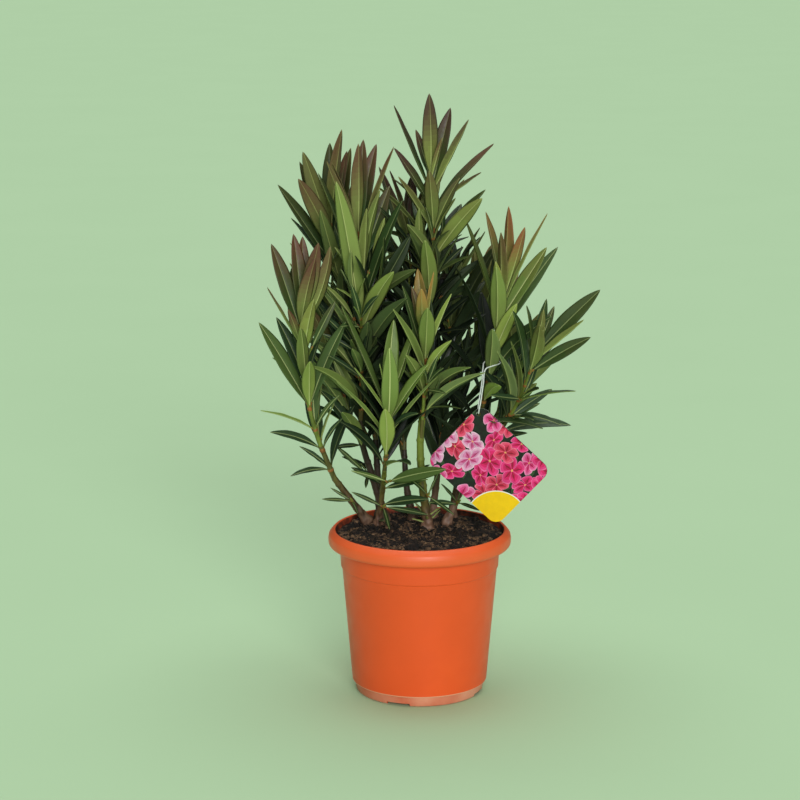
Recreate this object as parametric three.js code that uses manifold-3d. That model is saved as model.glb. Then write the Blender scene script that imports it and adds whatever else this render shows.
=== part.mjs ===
// A potted oleander: a young shrub of ten upright shoots in a round plastic nursery pot.
// Millimetres, +Z up, +X to the right and +Y to the back. The origin is the centre of the
// pot's flat underside.
import * as THREE from 'three'
import { mergeVertices } from 'three/addons/utils/BufferGeometryUtils.js'
import Module from 'manifold-3d'

const wasm = await Module()
wasm.setup()

// Driving dimensions

// The clearance between neighbouring pieces, and between the soil and the pot's wall.
const GAP = 0.3
const SOIL_GAP = 0.4

const POT = {
  height: 194,
  sides: 36,
  footRadius: 74,
  footTopRadius: 77,
  footHeight: 12.5,
  bodyFootRadius: 79.2,
  bodyTopRadius: 90.8,
  bandFoot: 149.4,
  bandRadius: 93,
  lipFoot: 174.5,
  rimRadius: 107,
  rimMiddle: 183.5,
  mouthRadius: 98.2,
  wall: 2.4,
  rimRootRadius: 90.6,
  ledge: 179,
  ledgeRadius: 95.4,
  floorUnder: 4,
  floorTop: 6.6,
  ringWidth: 4,
  bossRadius: 14,
  notches: 4,
  notchWidth: 28,
  notchHeight: 3.2,
  firstNotch: -110,
  holes: 6,
  holeRadius: 5,
  holeCircle: 48
}

const SOIL = { edge: 187.5, crown: 191, crownRadius: 76, sides: 36 }

const TAG = {
  long: 112,
  short: 92,
  corner: 12,
  thick: 0.8,
  lean: -43,
  turn: -4,
  centre: [79, -31, 277],
  holeRadius: 2.6,
  hole: [-50, 36]
}

const TIE = {
  radius: 0.75,
  sides: 6,
  route: [[67, -30.2, 337.8], [67.4, -33.4, 342.5], [69, -31.5, 350], [72.5, -20, 370],
    [75.5, -11, 386], [83, -11.5, 389.5], [91.5, -5, 391], [92, 6, 391.5], [87.2, 13.5, 392],
    [83.6, 15.9, 392], [79.5, 13.8, 392], [74, 4, 390.5], [72.6, -6, 387], [71, -16, 371],
    [67.5, -27, 352], [66.6, -27.2, 342.5]]
}

// Leaves stand in whorls of three. A blade is lance-shaped, with a keel along its underside.
const LEAF = {
  whorl: 3,
  stations: [0, 0.17, 0.5, 0.83],
  widest: 0.5,
  petiole: 0.06,
  widthPerLength: 0.165,
  fullLength: 100,
  extraWidth: 0.04,
  leastThick: 1.6,
  thickPerLength: 1 / 60,
  tries: 8
}

// The space that the crown fills: a leaf that no named tip holds stays inside it.
const CROWN = { centre: [8, 45, 420], reach: [190, 160, 300] }

// Bare stems: the route from the soil up, and the radius at its foot and at its top.
const STEMS = {
  top: { route: [[10, 14, 0], [2, 6, 250], [0, 3, 299], [3, 3, 329]], radius: [5.4, 3.8] },
  rear_left: { route: [[-47, 58, 0], [-50, 66, 248], [-52, 70, 284]], radius: [4.8, 3.4] },
  mid_left: {
    route: [[-40, 45, 0], [-56, 50, 245], [-68, 42, 284], [-69, 38, 315]], radius: [4.8, 3.2]
  },
  left: { route: [[-62, 42, 0], [-82, 36, 220], [-100, 30, 246]], radius: [4.8, 3.6] },
  front: { route: [[-49, 28, 0], [-44, 22, 228], [-41, 8, 262]], radius: [3.6, 2.8] },
  right: { route: [[38, 58, 0], [46, 58, 237], [57, 46, 283], [71, 34, 322]], radius: [4.6, 3.2] },
  far_right: { route: [[32, 36, 0], [52, 38, 238], [78, 38, 281], [95, 38, 303]], radius: [4.2, 3] },
  rear: { route: [[-8, 48, 0], [-16, 60, 230], [-18, 72, 271]], radius: [4.4, 3.2] },
  rear_right: { route: [[15, 58, 0], [21, 70, 234], [26, 76, 276]], radius: [4.6, 3.2] }
}

// Leafy shoots. route: the twig from its foot to its apex, going on from its stem's top where
// it has no first point of its own. on: the stem that a side shoot springs from. pitch: the
// spacing of the whorls. length: a full leaf. lean: how far leaves stand off the twig at the
// apex and at the foot, in degrees. turn: the bearing of the first leaf. bare: the leafless
// foot. tips: where the showiest leaves end, as whorl, x, y, z and the turn of the upper face.
const SHOOTS = [
  { name: 'top', route: [[8, 12, 416], [16, 28, 504], [15, 27, 562], [12, 25, 602]],
    radius: [3.6, 1.5], pitch: 32, length: 126, lean: [12, 40], turn: 10, bare: 8,
    tips: [[0, 10, 8, 700, 0], [0, -5, 50, 655, 0], [0, 25, 12, 650, -20], [1, -30, 30, 685, 10],
      [1, 35, 50, 680, 20], [1, 55, 15, 670, -25], [2, -30, 40, 635, 15], [2, 85, 40, 640, 10],
      [2, 70, 15, 610, -25], [3, 45, 5, 605, -35], [3, 10, -12, 615, 0], [3, -25, 15, 605, -25],
      [4, 75, 15, 590, 45], [4, -15, -20, 555, -30], [4, 70, -22, 585, -40], [6, 5, -40, 540, 0]] },
  { name: 'rear_left', route: [[-68, 74, 368], [-90, 72, 464], [-104, 70, 538]],
    radius: [3.2, 1.4], pitch: 31, length: 130, lean: [12, 40], turn: 40, bare: 15,
    tips: [[0, -90, 52, 655, -20], [0, -105, 92, 635, 10], [1, -135, 45, 630, -35],
      [1, -85, 100, 625, 0], [2, -140, 75, 615, 35], [2, -140, 35, 600, -40], [3, -165, 60, 590, 45]] },
  { name: 'mid_left',
    route: [[-67, 30, 377], [-68, 22, 425], [-65, 18, 461], [-68, 14, 506], [-71, 12, 537]],
    radius: [3.1, 1.4], pitch: 30, length: 136, lean: [12, 40], turn: 75, bare: 8,
    tips: [[0, -70, -8, 645, 0], [0, -65, 35, 645, 0], [1, -50, 35, 640, 10], [1, -30, 8, 640, -20],
      [2, -80, 45, 590, 10], [2, -35, 50, 590, 20], [4, -20, 0, 580, 40], [5, -95, -28, 605, -25],
      [5, -30, -45, 505, -30]] },
  { name: 'left',
    route: [[-114, 20, 283], [-121, 14, 305], [-129, 5, 339], [-135, -3, 389], [-138, -8, 431],
      [-135, -10, 445]],
    radius: [3.4, 1.4], pitch: 28, length: 110, lean: [13, 42], turn: 20, bare: 0,
    tips: [[0, -115, -28, 535, 0], [0, -145, 8, 540, 10], [0, -135, 22, 535, 0],
      [1, -170, -2, 530, 25], [1, -100, -12, 535, -30], [2, -175, -2, 480, -30],
      [2, -150, -35, 460, -20], [3, -120, -55, 475, 0], [5, -185, -8, 440, 45],
      [5, -125, -50, 403, 0], [5, -85, 0, 440, 35], [6, -185, 0, 335, -30],
      [6, -93, 10, 351, 30], [6, -128, 75, 380, 0], [7, -174, 0, 309, 35],
      [7, -89, 10, 324, 30], [8, -151, 5, 255, 30], [8, -141, 22, 287, 20]] },
  { name: 'front', route: [[-38, -6, 301], [-37, -22, 332], [-36, -28, 349]],
    radius: [2.7, 1.4], pitch: 26, length: 100, lean: [13, 40], turn: 5, bare: 4,
    tips: [[0, -30, -15, 445, 0], [0, -5, -20, 440, -30], [1, -90, -10, 460, -35],
      [1, -75, -45, 395, -30], [2, -35, -55, 420, 0], [2, -71, -30, 433, -30],
      [3, 20, -35, 383, -30], [4, -40, -60, 350, 0]] },
  { name: 'centre', on: 'top', route: [[1, 3, 296], [5, -12, 356], [6, -24, 391], [4, -30, 424]],
    radius: [2.5, 1.4], pitch: 24, length: 105, lean: [14, 42], turn: 30, bare: 28,
    tips: [[0, 15, -45, 505, -15], [0, -10, -25, 485, 0], [2, 35, -45, 480, -30], [3, 35, -65, 430, -30]] },
  { name: 'right', route: [[78, 20, 357], [86, 8, 410], [92, 2, 443], [96, 0, 469]],
    radius: [3.1, 1.4], pitch: 27, length: 118, lean: [13, 42], turn: 50, bare: 4,
    tips: [[0, 100, -14, 575, -10], [0, 75, 12, 565, 0], [1, 145, 0, 565, -25], [2, 85, -35, 515, 0],
      [2, 145, 5, 525, 40], [1, 115, 35, 495, 0], [3, 160, 40, 520, 0], [4, 110, -25, 465, -25],
      [5, 150, -25, 450, 45], [6, 90, -50, 375, -20]] },
  { name: 'far_right', route: [[111, 24, 332], [125, 0, 373], [133, -12, 406]],
    radius: [2.9, 1.4], pitch: 24, length: 105, lean: [15, 42], turn: 15, bare: 0,
    tips: [[0, 205, -20, 480, 35], [0, 155, 15, 455, 0], [0, 140, -35, 460, 0], [1, 185, -45, 450, -30],
      [2, 195, -20, 425, 40], [1, 115, 15, 440, 0], [4, 180, -10, 360, -25], [4, 135, -45, 370, 45],
      [5, 165, 10, 315, 30]] },
  { name: 'rear', route: [[-17, 84, 353], [-12, 90, 449], [-11, 88, 521]],
    radius: [3, 1.4], pitch: 32, length: 132, lean: [13, 42], turn: 0, bare: 6,
    tips: [[0, -35, 75, 605, 0], [1, -10, 100, 595, 0]] },
  { name: 'rear_right', route: [[32, 76, 343], [36, 70, 416], [39, 66, 471]],
    radius: [3.1, 1.4], pitch: 31, length: 125, lean: [14, 42], turn: 65, bare: 6,
    tips: [[0, 70, 60, 540, 10], [0, 75, 30, 540, 30], [1, 60, 85, 520, 0]] },
  { name: 'back_left', on: 'rear_left',
    route: [[-50, 66, 262], [-69, 92, 297], [-95, 115, 359], [-113, 124, 421]],
    radius: [2.6, 1.4], pitch: 30, length: 122, lean: [15, 42], turn: 25, bare: 42, tips: [] },
  { name: 'back', on: 'rear',
    route: [[-17, 66, 251], [-25, 96, 287], [-35, 128, 369], [-42, 140, 440]],
    radius: [2.6, 1.4], pitch: 30, length: 125, lean: [14, 42], turn: 10, bare: 42, tips: [] },
  { name: 'back_right', on: 'rear_right',
    route: [[23, 72, 255], [39, 98, 294], [61, 124, 364], [71, 134, 419]],
    radius: [2.6, 1.4], pitch: 30, length: 125, lean: [15, 42], turn: 45, bare: 42, tips: [] },
  { name: 'side_right', on: 'right',
    route: [[48, 56, 245], [68, 78, 272], [97, 98, 314], [115, 106, 361]],
    radius: [2.5, 1.4], pitch: 28, length: 108, lean: [16, 44], turn: 35, bare: 40, tips: [] },
  { name: 'side_left', on: 'mid_left',
    route: [[-62, 46, 265], [-77, 58, 301], [-92, 72, 344], [-101, 80, 391]],
    radius: [2.5, 1.4], pitch: 28, length: 104, lean: [14, 44], turn: 0, bare: 36, tips: [] },
  { name: 'sprig_front', on: 'front', route: [[-43, 18, 241], [-36, 2, 250]],
    radius: [1.8, 1.4], pitch: 40, length: 60, lean: [60, 60], turn: 60, bare: 0,
    tips: [[0, 30, -62, 280, 35], [0, -80, -8, 265, 30], [0, 10, -10, 255, 30]] },
  { name: 'sprig_foot', on: 'front', route: [[-47, 26, 208], [-42, 14, 217]],
    radius: [1.8, 1.4], pitch: 40, length: 50, lean: [60, 60], turn: 60, bare: 0,
    tips: [[0, -35, -22, 198, 30], [0, 10, 0, 210, 30], [0, -80, 10, 235, 30]] },
  { name: 'sprig_left', on: 'left', route: [[-76, 38, 211], [-80, 26, 221]],
    radius: [1.8, 1.4], pitch: 40, length: 40, lean: [60, 60], turn: 60, bare: 0,
    tips: [[0, -115, 15, 225, 30], [0, -105, 30, 235, 20]] },
  { name: 'sprig_mid', on: 'mid_left', route: [[-54, 49, 239], [-62, 38, 250]],
    radius: [1.8, 1.4], pitch: 40, length: 50, lean: [50, 50], turn: 60, bare: 0,
    tips: [[0, -100, 40, 285, 30], [0, -70, 30, 265, 20]] },
  { name: 'sprig_main', on: 'top', route: [[5, 9, 225], [10, -4, 235]],
    radius: [1.8, 1.4], pitch: 40, length: 45, lean: [60, 60], turn: 60, bare: 0,
    tips: [[0, 40, -20, 215, 30], [0, -25, -15, 265, 20]] },
  { name: 'sprig_right', on: 'far_right', route: [[40, 37, 211], [46, 26, 219]],
    radius: [1.8, 1.4], pitch: 40, length: 45, lean: [60, 60], turn: 60, bare: 0,
    tips: [[0, 70, 0, 215, 30], [0, 25, 10, 245, 0]] }
]

const COLOURS = {
  pot: '#d9592c',
  soil: '#2a1b14',
  stem: '#6d5a33',
  leaf: '#3f5f2a',
  sprig: '#4c6b33',
  tag: '#c9316f',
  tie: '#e8ece8'
}

// Vectors and curves

const vec = (p) => new THREE.Vector3(p[0], p[1], p[2])
const radians = THREE.MathUtils.degToRad
const mix = (a, b, t) => a + (b - a) * t

// Chaikin's corner cutting, once, with both ends kept.
function softened(points) {
  const out = [points[0]]
  for (let i = 0; i < points.length - 1; i++) {
    if (i > 0) out.push(points[i].clone().lerp(points[i + 1], 0.25))
    if (i < points.length - 2) out.push(points[i].clone().lerp(points[i + 1], 0.75))
  }
  out.push(points[points.length - 1])
  return out
}

function pathLength(points) {
  let sum = 0
  for (let i = 1; i < points.length; i++) sum += points[i].distanceTo(points[i - 1])
  return sum
}

// The place on a path at a distance below its upper end, and the path's direction there.
function pathAt(points, drop) {
  let left = drop
  for (let i = points.length - 1; i > 0; i--) {
    const step = points[i].distanceTo(points[i - 1])
    if (left <= step || i === 1) {
      const at = points[i].clone().lerp(points[i - 1], left / step)
      const along = points[i].clone().sub(points[i - 1]).normalize()
      return { at, along }
    }
    left -= step
  }
}

// Two directions square to a twig: the first one looks as far to +X as it can.
function across(along) {
  const first = new THREE.Vector3(1, 0, 0).addScaledVector(along, -along.x).normalize()
  const second = along.clone().cross(first)
  return { first, second }
}

// Solids from rings of points

// Rings run counter-clockwise seen from the end; a ring of one point closes to a tip.
function ringsToSolid(rings) {
  const positions = []
  const push = (a, b, c) => positions.push(...a.toArray(), ...b.toArray(), ...c.toArray())
  const first = rings[0]
  const last = rings[rings.length - 1]
  for (let i = 2; i < first.length; i++) push(first[0], first[i], first[i - 1])
  for (let i = 1; i < rings.length; i++) {
    const low = rings[i - 1]
    const high = rings[i]
    for (let j = 0; j < low.length; j++) {
      const k = (j + 1) % low.length
      if (high.length === 1) push(low[j], low[k], high[0])
      else {
        push(low[j], low[k], high[k])
        push(low[j], high[k], high[j])
      }
    }
  }
  for (let i = 2; i < last.length; i++) push(last[0], last[i - 1], last[i])
  const geometry = new THREE.BufferGeometry()
  geometry.setAttribute('position', new THREE.Float32BufferAttribute(positions, 3))
  return toSolid(geometry)
}

function toSolid(geometry) {
  const bare = geometry.index ? geometry.toNonIndexed() : geometry
  bare.deleteAttribute('normal')
  bare.deleteAttribute('uv')
  const merged = mergeVertices(bare, 1e-4)
  const mesh = new wasm.Mesh({
    numProp: 3,
    vertProperties: new Float32Array(merged.attributes.position.array),
    triVerts: new Uint32Array(merged.index.array)
  })
  return new wasm.Manifold(mesh)
}

function toGeometry(solid) {
  const mesh = solid.getMesh()
  const geometry = new THREE.BufferGeometry()
  const positions = new Float32Array(mesh.vertProperties)
  geometry.setAttribute('position', new THREE.BufferAttribute(positions, 3))
  geometry.setIndex(new THREE.BufferAttribute(new Uint32Array(mesh.triVerts), 1))
  geometry.computeVertexNormals()
  return geometry
}

function ringAround(at, along, radius, sides) {
  const { first, second } = across(along)
  const ring = []
  for (let i = 0; i < sides; i++) {
    const a = (2 * Math.PI * i) / sides
    const p = at.clone().addScaledVector(first, radius * Math.cos(a))
    ring.push(p.addScaledVector(second, radius * Math.sin(a)))
  }
  return ring
}

function directionAt(points, i) {
  const before = points[Math.max(0, i - 1)]
  const after = points[Math.min(points.length - 1, i + 1)]
  return after.clone().sub(before).normalize()
}

// Pot and soil

// The height of the soil: a low mound that falls to the wall.
function soilAt(radius) {
  const wallRadius = innerRadius(SOIL.edge) - SOIL_GAP
  const share = (radius - SOIL.crownRadius) / (wallRadius - SOIL.crownRadius)
  return mix(SOIL.crown, SOIL.edge, THREE.MathUtils.clamp(share, 0, 1))
}

function outerRadius(z) {
  const share = (z - POT.footHeight) / (POT.bandFoot - POT.footHeight)
  return mix(POT.bodyFootRadius, POT.bodyTopRadius, share)
}

// The inside of the pot: a cone up to the rim, which it widens into.
function insideProfile() {
  const { footTopRadius, bodyTopRadius, wall, floorTop, bandFoot, lipFoot } = POT
  return [[footTopRadius - wall, floorTop], [bodyTopRadius - wall, bandFoot],
    [POT.rimRootRadius, lipFoot], [POT.ledgeRadius, POT.ledge], [POT.mouthRadius, POT.height - 1.4]]
}

function innerRadius(z) {
  const profile = insideProfile()
  const i = Math.max(1, profile.findIndex((p) => p[1] >= z))
  const [low, high] = [profile[i - 1], profile[i]]
  return mix(low[0], high[0], (z - low[1]) / (high[1] - low[1]))
}

// A profile of radii and heights turned round the pot's axis.
function turned(profile, sides) {
  const points = profile.map(([radius, z]) => new THREE.Vector2(radius, z))
  const lathe = new THREE.LatheGeometry(points, sides)
  lathe.rotateX(Math.PI / 2)
  return toSolid(lathe)
}

// The rolled rim in section, from its lower lip out and up to the mouth.
function rimProfile() {
  const { rimRadius, rimMiddle, lipFoot, height, mouthRadius } = POT
  return [[rimRadius - 4.2, lipFoot], [rimRadius - 1.6, lipFoot + 1.6],
    [rimRadius - 0.3, rimMiddle - 5], [rimRadius, rimMiddle], [rimRadius - 0.8, rimMiddle + 4.6],
    [rimRadius - 2.9, height - 3.2], [rimRadius - 6, height], [mouthRadius + 1, height]]
}

function potSolid() {
  const { footRadius, footTopRadius, footHeight, bandFoot, bandRadius, lipFoot, bossRadius } = POT
  const ringInside = footRadius - POT.ringWidth
  const profile = [[0, 0], [bossRadius, 0], [bossRadius + 1.5, POT.floorUnder],
    [ringInside - 1, POT.floorUnder], [ringInside, 0], [footRadius, 0],
    [footTopRadius, footHeight - 0.8], [POT.bodyFootRadius, footHeight],
    [outerRadius(bandFoot), bandFoot], [bandRadius - 0.8, bandFoot + 1],
    [bandRadius + 0.6, lipFoot], ...rimProfile(), ...insideProfile().reverse(), [0, POT.floorTop]]
  const cuts = []
  for (let i = 0; i < POT.holes; i++) {
    const a = (2 * Math.PI * (i + 0.5)) / POT.holes
    const hole = new THREE.CylinderGeometry(POT.holeRadius, POT.holeRadius, 3 * POT.floorTop, 12)
    hole.rotateX(Math.PI / 2)
    hole.translate(POT.holeCircle * Math.cos(a), POT.holeCircle * Math.sin(a), 0)
    cuts.push(toSolid(hole))
  }
  for (let i = 0; i < POT.notches; i++) {
    const notch = new THREE.BoxGeometry(3 * POT.ringWidth, POT.notchWidth, 2 * POT.notchHeight)
    notch.translate(footRadius - POT.ringWidth / 2, 0, 0)
    notch.rotateZ(radians(POT.firstNotch + (360 * i) / POT.notches))
    cuts.push(toSolid(notch))
  }
  return turned(profile, POT.sides).subtract(wasm.Manifold.union(cuts))
}

function soilSolid() {
  const low = POT.floorTop + SOIL_GAP
  const kinks = insideProfile().map((p) => p[1]).filter((z) => z > low && z < SOIL.edge)
  const side = [low, ...kinks, SOIL.edge].map((z) => [innerRadius(z) - SOIL_GAP, z])
  const profile = [[0, low], ...side, [SOIL.crownRadius, SOIL.crown], [0, SOIL.crown]]
  return turned(profile, SOIL.sides)
}

// Stems and twigs

// A stem's route with its foot set on the soil and its corners eased.
function stemPath(stem) {
  const points = stem.route.map(vec)
  const reach = Math.hypot(points[0].x, points[0].y) - 2 * stem.radius[0]
  points[0].z = soilAt(reach) + GAP
  return softened(points)
}

// A tapering round limb, thicker where it meets the soil, with a level cut at its foot.
function stemSolid(stem, grow = 0) {
  const sides = 8
  const path = stemPath(stem)
  const whole = pathLength(path)
  const foot = path[0].clone()
  const marks = [{ run: 0, swell: 1.5 }, { run: 7, swell: 1.14 }, { run: 18, swell: 1 }]
  let run = 0
  for (let i = 1; i < path.length; i++) {
    run += path[i].distanceTo(path[i - 1])
    if (run > 24) marks.push({ run, swell: 1 })
  }
  const rings = marks.map(({ run: at, swell }, i) => {
    const place = pathAt(path, whole - at)
    const radius = mix(stem.radius[0], stem.radius[1], at / whole) * swell + grow
    const ring = ringAround(place.at, place.along, radius, sides)
    if (i === 0) ring.forEach((p) => p.addScaledVector(place.along, (foot.z - p.z) / place.along.z))
    return ring
  })
  return ringsToSolid(rings)
}

// A shoot's twig: a main shoot goes on from its stem's top, with a hair's gap between them.
function twigPath(shoot) {
  const points = shoot.route.map(vec)
  if (shoot.on) return softened(points)
  const stem = stemPath(STEMS[shoot.name])
  const top = stem[stem.length - 1]
  const along = directionAt(stem, stem.length - 1)
  return softened([top.clone().addScaledVector(along, GAP), ...points])
}

// Its foot is square to the stem's top, so that the two end faces are parallel.
function twigSolid(shoot, path) {
  const whole = pathLength(path)
  const carrier = shoot.on ? path : stemPath(STEMS[shoot.name])
  const footWay = shoot.on ? directionAt(path, 0) : directionAt(carrier, carrier.length - 1)
  let run = 0
  const rings = path.map((p, i) => {
    if (i > 0) run += p.distanceTo(path[i - 1])
    const radius = mix(shoot.radius[0], shoot.radius[1], run / whole)
    return ringAround(p, i === 0 ? footWay : directionAt(path, i), radius, 3)
  })
  const bud = path[path.length - 1].clone().addScaledVector(directionAt(path, path.length - 1), 7)
  rings.push([bud])
  return ringsToSolid(rings)
}

// Leaves

// A number from 0 to 1 that depends only on the shoot, the leaf's place and what it is for.
function chance(shoot, place, use) {
  let h = Math.imul(shoot, 73856093) ^ Math.imul(place, 19349663) ^ Math.imul(use, 83492791)
  h ^= h >>> 16
  h = Math.imul(h, 0x7feb352d)
  h ^= h >>> 15
  h = Math.imul(h, 0x846ca68b)
  h ^= h >>> 16
  return (h >>> 0) / 4294967296
}

// Distances of the whorls below the apex: close together there, a full pitch further down.
function whorlDrops(shoot, whole) {
  const drops = []
  let drop = 3
  let step = 0.45 * shoot.pitch
  do {
    drops.push(drop)
    drop += step
    step = Math.min(shoot.pitch, 1.35 * step)
  } while (drop < whole - Math.max(4, shoot.bare))
  return drops
}

// One leaf place: where it is rooted and which way it looks, before its tip is known.
function bearing(frame, shoot, index, k, j) {
  const jitter = 34 * (chance(index, LEAF.whorl * k + j, 1) - 0.5)
  const a = radians(shoot.turn + 60 * k + 120 * j + jitter)
  return frame.first.clone().multiplyScalar(Math.cos(a)).addScaledVector(frame.second, Math.sin(a))
}

// Of a whorl's free places, the one that looks most nearly towards a named tip takes it.
function dealTips(shoot, index, k, root, along, frame) {
  const held = {}
  for (const [whorl, x, y, z, turn] of shoot.tips) {
    if (whorl !== k) continue
    const tip = vec([x, y, z])
    const way = tip.clone().sub(root)
    way.addScaledVector(along, -way.dot(along))
    const free = [0, 1, 2].filter((j) => !held[j])
    const pull = (j) => bearing(frame, shoot, index, k, j).dot(way)
    const best = free.reduce((a, b) => (pull(b) > pull(a) ? b : a))
    held[best] = { tip, turn }
  }
  return held
}

// The ways a leaf may grow, best first: a named tip bends or turns a little, and any other
// leaf swings round its twig, closes up and shortens.
function leafTries(place) {
  const { shoot, index, k, j, root, along, frame, drop, whole, held } = place
  const slot = LEAF.whorl * k + j
  const depth = Math.min(1, drop / Math.max(60, 0.75 * whole))
  const bow = 0.05 + 0.1 * depth + 0.05 * (chance(index, slot, 5) - 0.5)
  const tries = []
  for (let t = 0; t < LEAF.tries; t++) {
    const side = t % 2 ? 1 : -1
    const pace = Math.ceil(t / 2)
    if (held) {
      const radial = bearing(frame, shoot, index, k, j)
      const tip = root.clone().lerp(held.tip, 1 - 0.03 * Math.max(0, t - 4))
      tries.push({ tip, radial, bow: bow + 0.05 * side * pace, turn: held.turn + 12 * side * pace })
      continue
    }
    const swing = radians(11 * side * pace)
    const straight = bearing(frame, shoot, index, k, j)
    const radial = straight.clone().multiplyScalar(Math.cos(swing))
    radial.addScaledVector(along.clone().cross(straight), Math.sin(swing))
    const spread = 16 * (chance(index, slot, 2) - 0.5)
    const open = mix(shoot.lean[0], shoot.lean[1], Math.pow(depth, 0.8)) + spread
    const lean = radians(open * (1 - 0.07 * t))
    const young = 0.72 + 0.28 * Math.min(1, drop / 30)
    const old = 0.3 * Math.max(0, (drop - 110) / 150)
    const luck = 0.9 + 0.2 * chance(index, slot, 3)
    const length = shoot.length * (young - old) * luck * (1 - 0.04 * t)
    const tip = root.clone().addScaledVector(along, length * Math.cos(lean))
    tip.addScaledVector(radial, length * Math.sin(lean))
    tries.push({ tip, radial, bow, turn: 80 * (chance(index, slot, 4) - 0.5) })
  }
  return tries
}

// A leaf's directions: along its chord, across its blade and up from its upper face.
function leafFrame(root, along, tip, radial) {
  const chord = tip.clone().sub(root)
  const length = chord.length()
  const flat = chord.clone().addScaledVector(along, -chord.dot(along))
  const out = flat.length() > 0.12 * length ? flat.normalize() : radial
  const run = chord.divideScalar(length)
  const face = run.clone().cross(along.clone().cross(out)).normalize()
  return { run, face, side: face.clone().cross(run), length }
}

// Share of the full width: it swells from the stalk to the middle and comes to a long point.
function widthAt(u) {
  if (u <= LEAF.petiole) return 0.07
  const v = (u - LEAF.petiole) / (1 - LEAF.petiole)
  const middle = (LEAF.widest - LEAF.petiole) / (1 - LEAF.petiole)
  if (v < middle) return Math.sin((Math.PI / 2) * Math.pow(v / middle, 0.9))
  return Math.sin((Math.PI / 2) * Math.pow((1 - v) / (1 - middle), 0.75))
}

function leafWidth(length) {
  const spare = Math.max(0, length - LEAF.fullLength)
  return LEAF.widthPerLength * (length - spare) + LEAF.extraWidth * spare
}

// The blade as a closed solid. From 1 leaves out the part that is sunk in the twig.
function leafSolid(place, grown, from = 0) {
  const { run, face, side, length } = leafFrame(place.root, place.along, grown.tip, grown.radial)
  const roll = radians(grown.turn) * (side.y > 0 ? 1 : -1)
  const wide = side.clone().multiplyScalar(Math.cos(roll)).addScaledVector(face, Math.sin(roll))
  const up = face.clone().multiplyScalar(Math.cos(roll)).addScaledVector(side, -Math.sin(roll))
  const half = leafWidth(length) / 2
  const thick = Math.max(LEAF.leastThick, LEAF.thickPerLength * length)
  const rings = LEAF.stations.slice(from).map((u) => {
    const share = widthAt(u)
    const middle = place.root.clone().addScaledVector(run, length * u)
    middle.addScaledVector(face, 2 * grown.bow * length * u * (1 - u))
    const edge = (sign) => middle.clone().addScaledVector(wide, sign * half * share)
    const keel = middle.clone().addScaledVector(up, -thick * mix(0.7, 1, share))
    return [edge(1), edge(-1), keel]
  })
  rings.push([grown.tip])
  return ringsToSolid(rings)
}

// Tag and tie

function tagSolid() {
  const { long, short, corner, thick } = TAG
  const shape = new THREE.Shape()
  const x = long / 2
  const y = short / 2
  shape.moveTo(-x + corner, -y)
  shape.lineTo(x - corner, -y)
  shape.absarc(x - corner, -y + corner, corner, -Math.PI / 2, 0)
  shape.lineTo(x, y - corner)
  shape.absarc(x - corner, y - corner, corner, 0, Math.PI / 2)
  shape.lineTo(-x + corner, y)
  shape.absarc(-x + corner, y - corner, corner, Math.PI / 2, Math.PI)
  shape.lineTo(-x, -y + corner)
  shape.absarc(-x + corner, -y + corner, corner, Math.PI, 1.5 * Math.PI)
  const hole = new THREE.Path()
  hole.absarc(TAG.hole[0], TAG.hole[1], TAG.holeRadius, 0, 2 * Math.PI, true)
  shape.holes.push(hole)
  const card = new THREE.ExtrudeGeometry(shape, { depth: thick, bevelEnabled: false, curveSegments: 5 })
  card.translate(0, 0, -thick / 2)
  card.rotateZ(radians(TAG.lean))
  card.rotateX(Math.PI / 2)
  card.rotateZ(radians(TAG.turn))
  card.translate(...TAG.centre)
  return toSolid(card)
}

// A closed loop of soft cord round the shoot's stem and through the tag's hole.
function tieSolid() {
  const curve = new THREE.CatmullRomCurve3(TIE.route.map(vec), true, 'centripetal')
  const count = 3 * TIE.route.length
  const frames = curve.computeFrenetFrames(count, true)
  const positions = []
  const index = []
  for (let i = 0; i < count; i++) {
    const at = curve.getPointAt(i / count)
    for (let j = 0; j < TIE.sides; j++) {
      const a = (2 * Math.PI * j) / TIE.sides
      const p = at.clone().addScaledVector(frames.normals[i], TIE.radius * Math.cos(a))
      p.addScaledVector(frames.binormals[i], TIE.radius * Math.sin(a))
      positions.push(...p.toArray())
      const next = (i + 1) % count
      const k = (j + 1) % TIE.sides
      const corners = [i * TIE.sides + j, i * TIE.sides + k, next * TIE.sides + k, next * TIE.sides + j]
      index.push(corners[0], corners[1], corners[2], corners[0], corners[2], corners[3])
    }
  }
  const geometry = new THREE.BufferGeometry()
  geometry.setAttribute('position', new THREE.Float32BufferAttribute(positions, 3))
  geometry.setIndex(index)
  return toSolid(geometry)
}

// Growing the crown

// Bounding boxes first, because a full clearance test is slow.
function near(a, b) {
  return [0, 1, 2].every((i) => a.min[i] - GAP < b.max[i] && b.min[i] - GAP < a.max[i])
}

function boxed(solid) {
  return { solid, box: solid.boundingBox() }
}

const clear = (a, b) => !near(a.box, b.box) || a.solid.minGap(b.solid, GAP) >= GAP

function insideCrown(p) {
  const { centre, reach } = CROWN
  const parts = p.toArray().map((value, i) => ((value - centre[i]) / reach[i]) ** 2)
  return parts[0] + parts[1] + parts[2] <= 1
}

function leafPlaces(shoot, index, path) {
  const whole = pathLength(path)
  const places = []
  whorlDrops(shoot, whole).forEach((drop, k) => {
    const { at: root, along } = pathAt(path, drop)
    const frame = across(along)
    const held = dealTips(shoot, index, k, root, along, frame)
    for (let j = 0; j < LEAF.whorl; j++) {
      places.push({ shoot, index, k, j, root, along, frame, drop, whole, held: held[j] })
    }
  })
  return places
}

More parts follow.
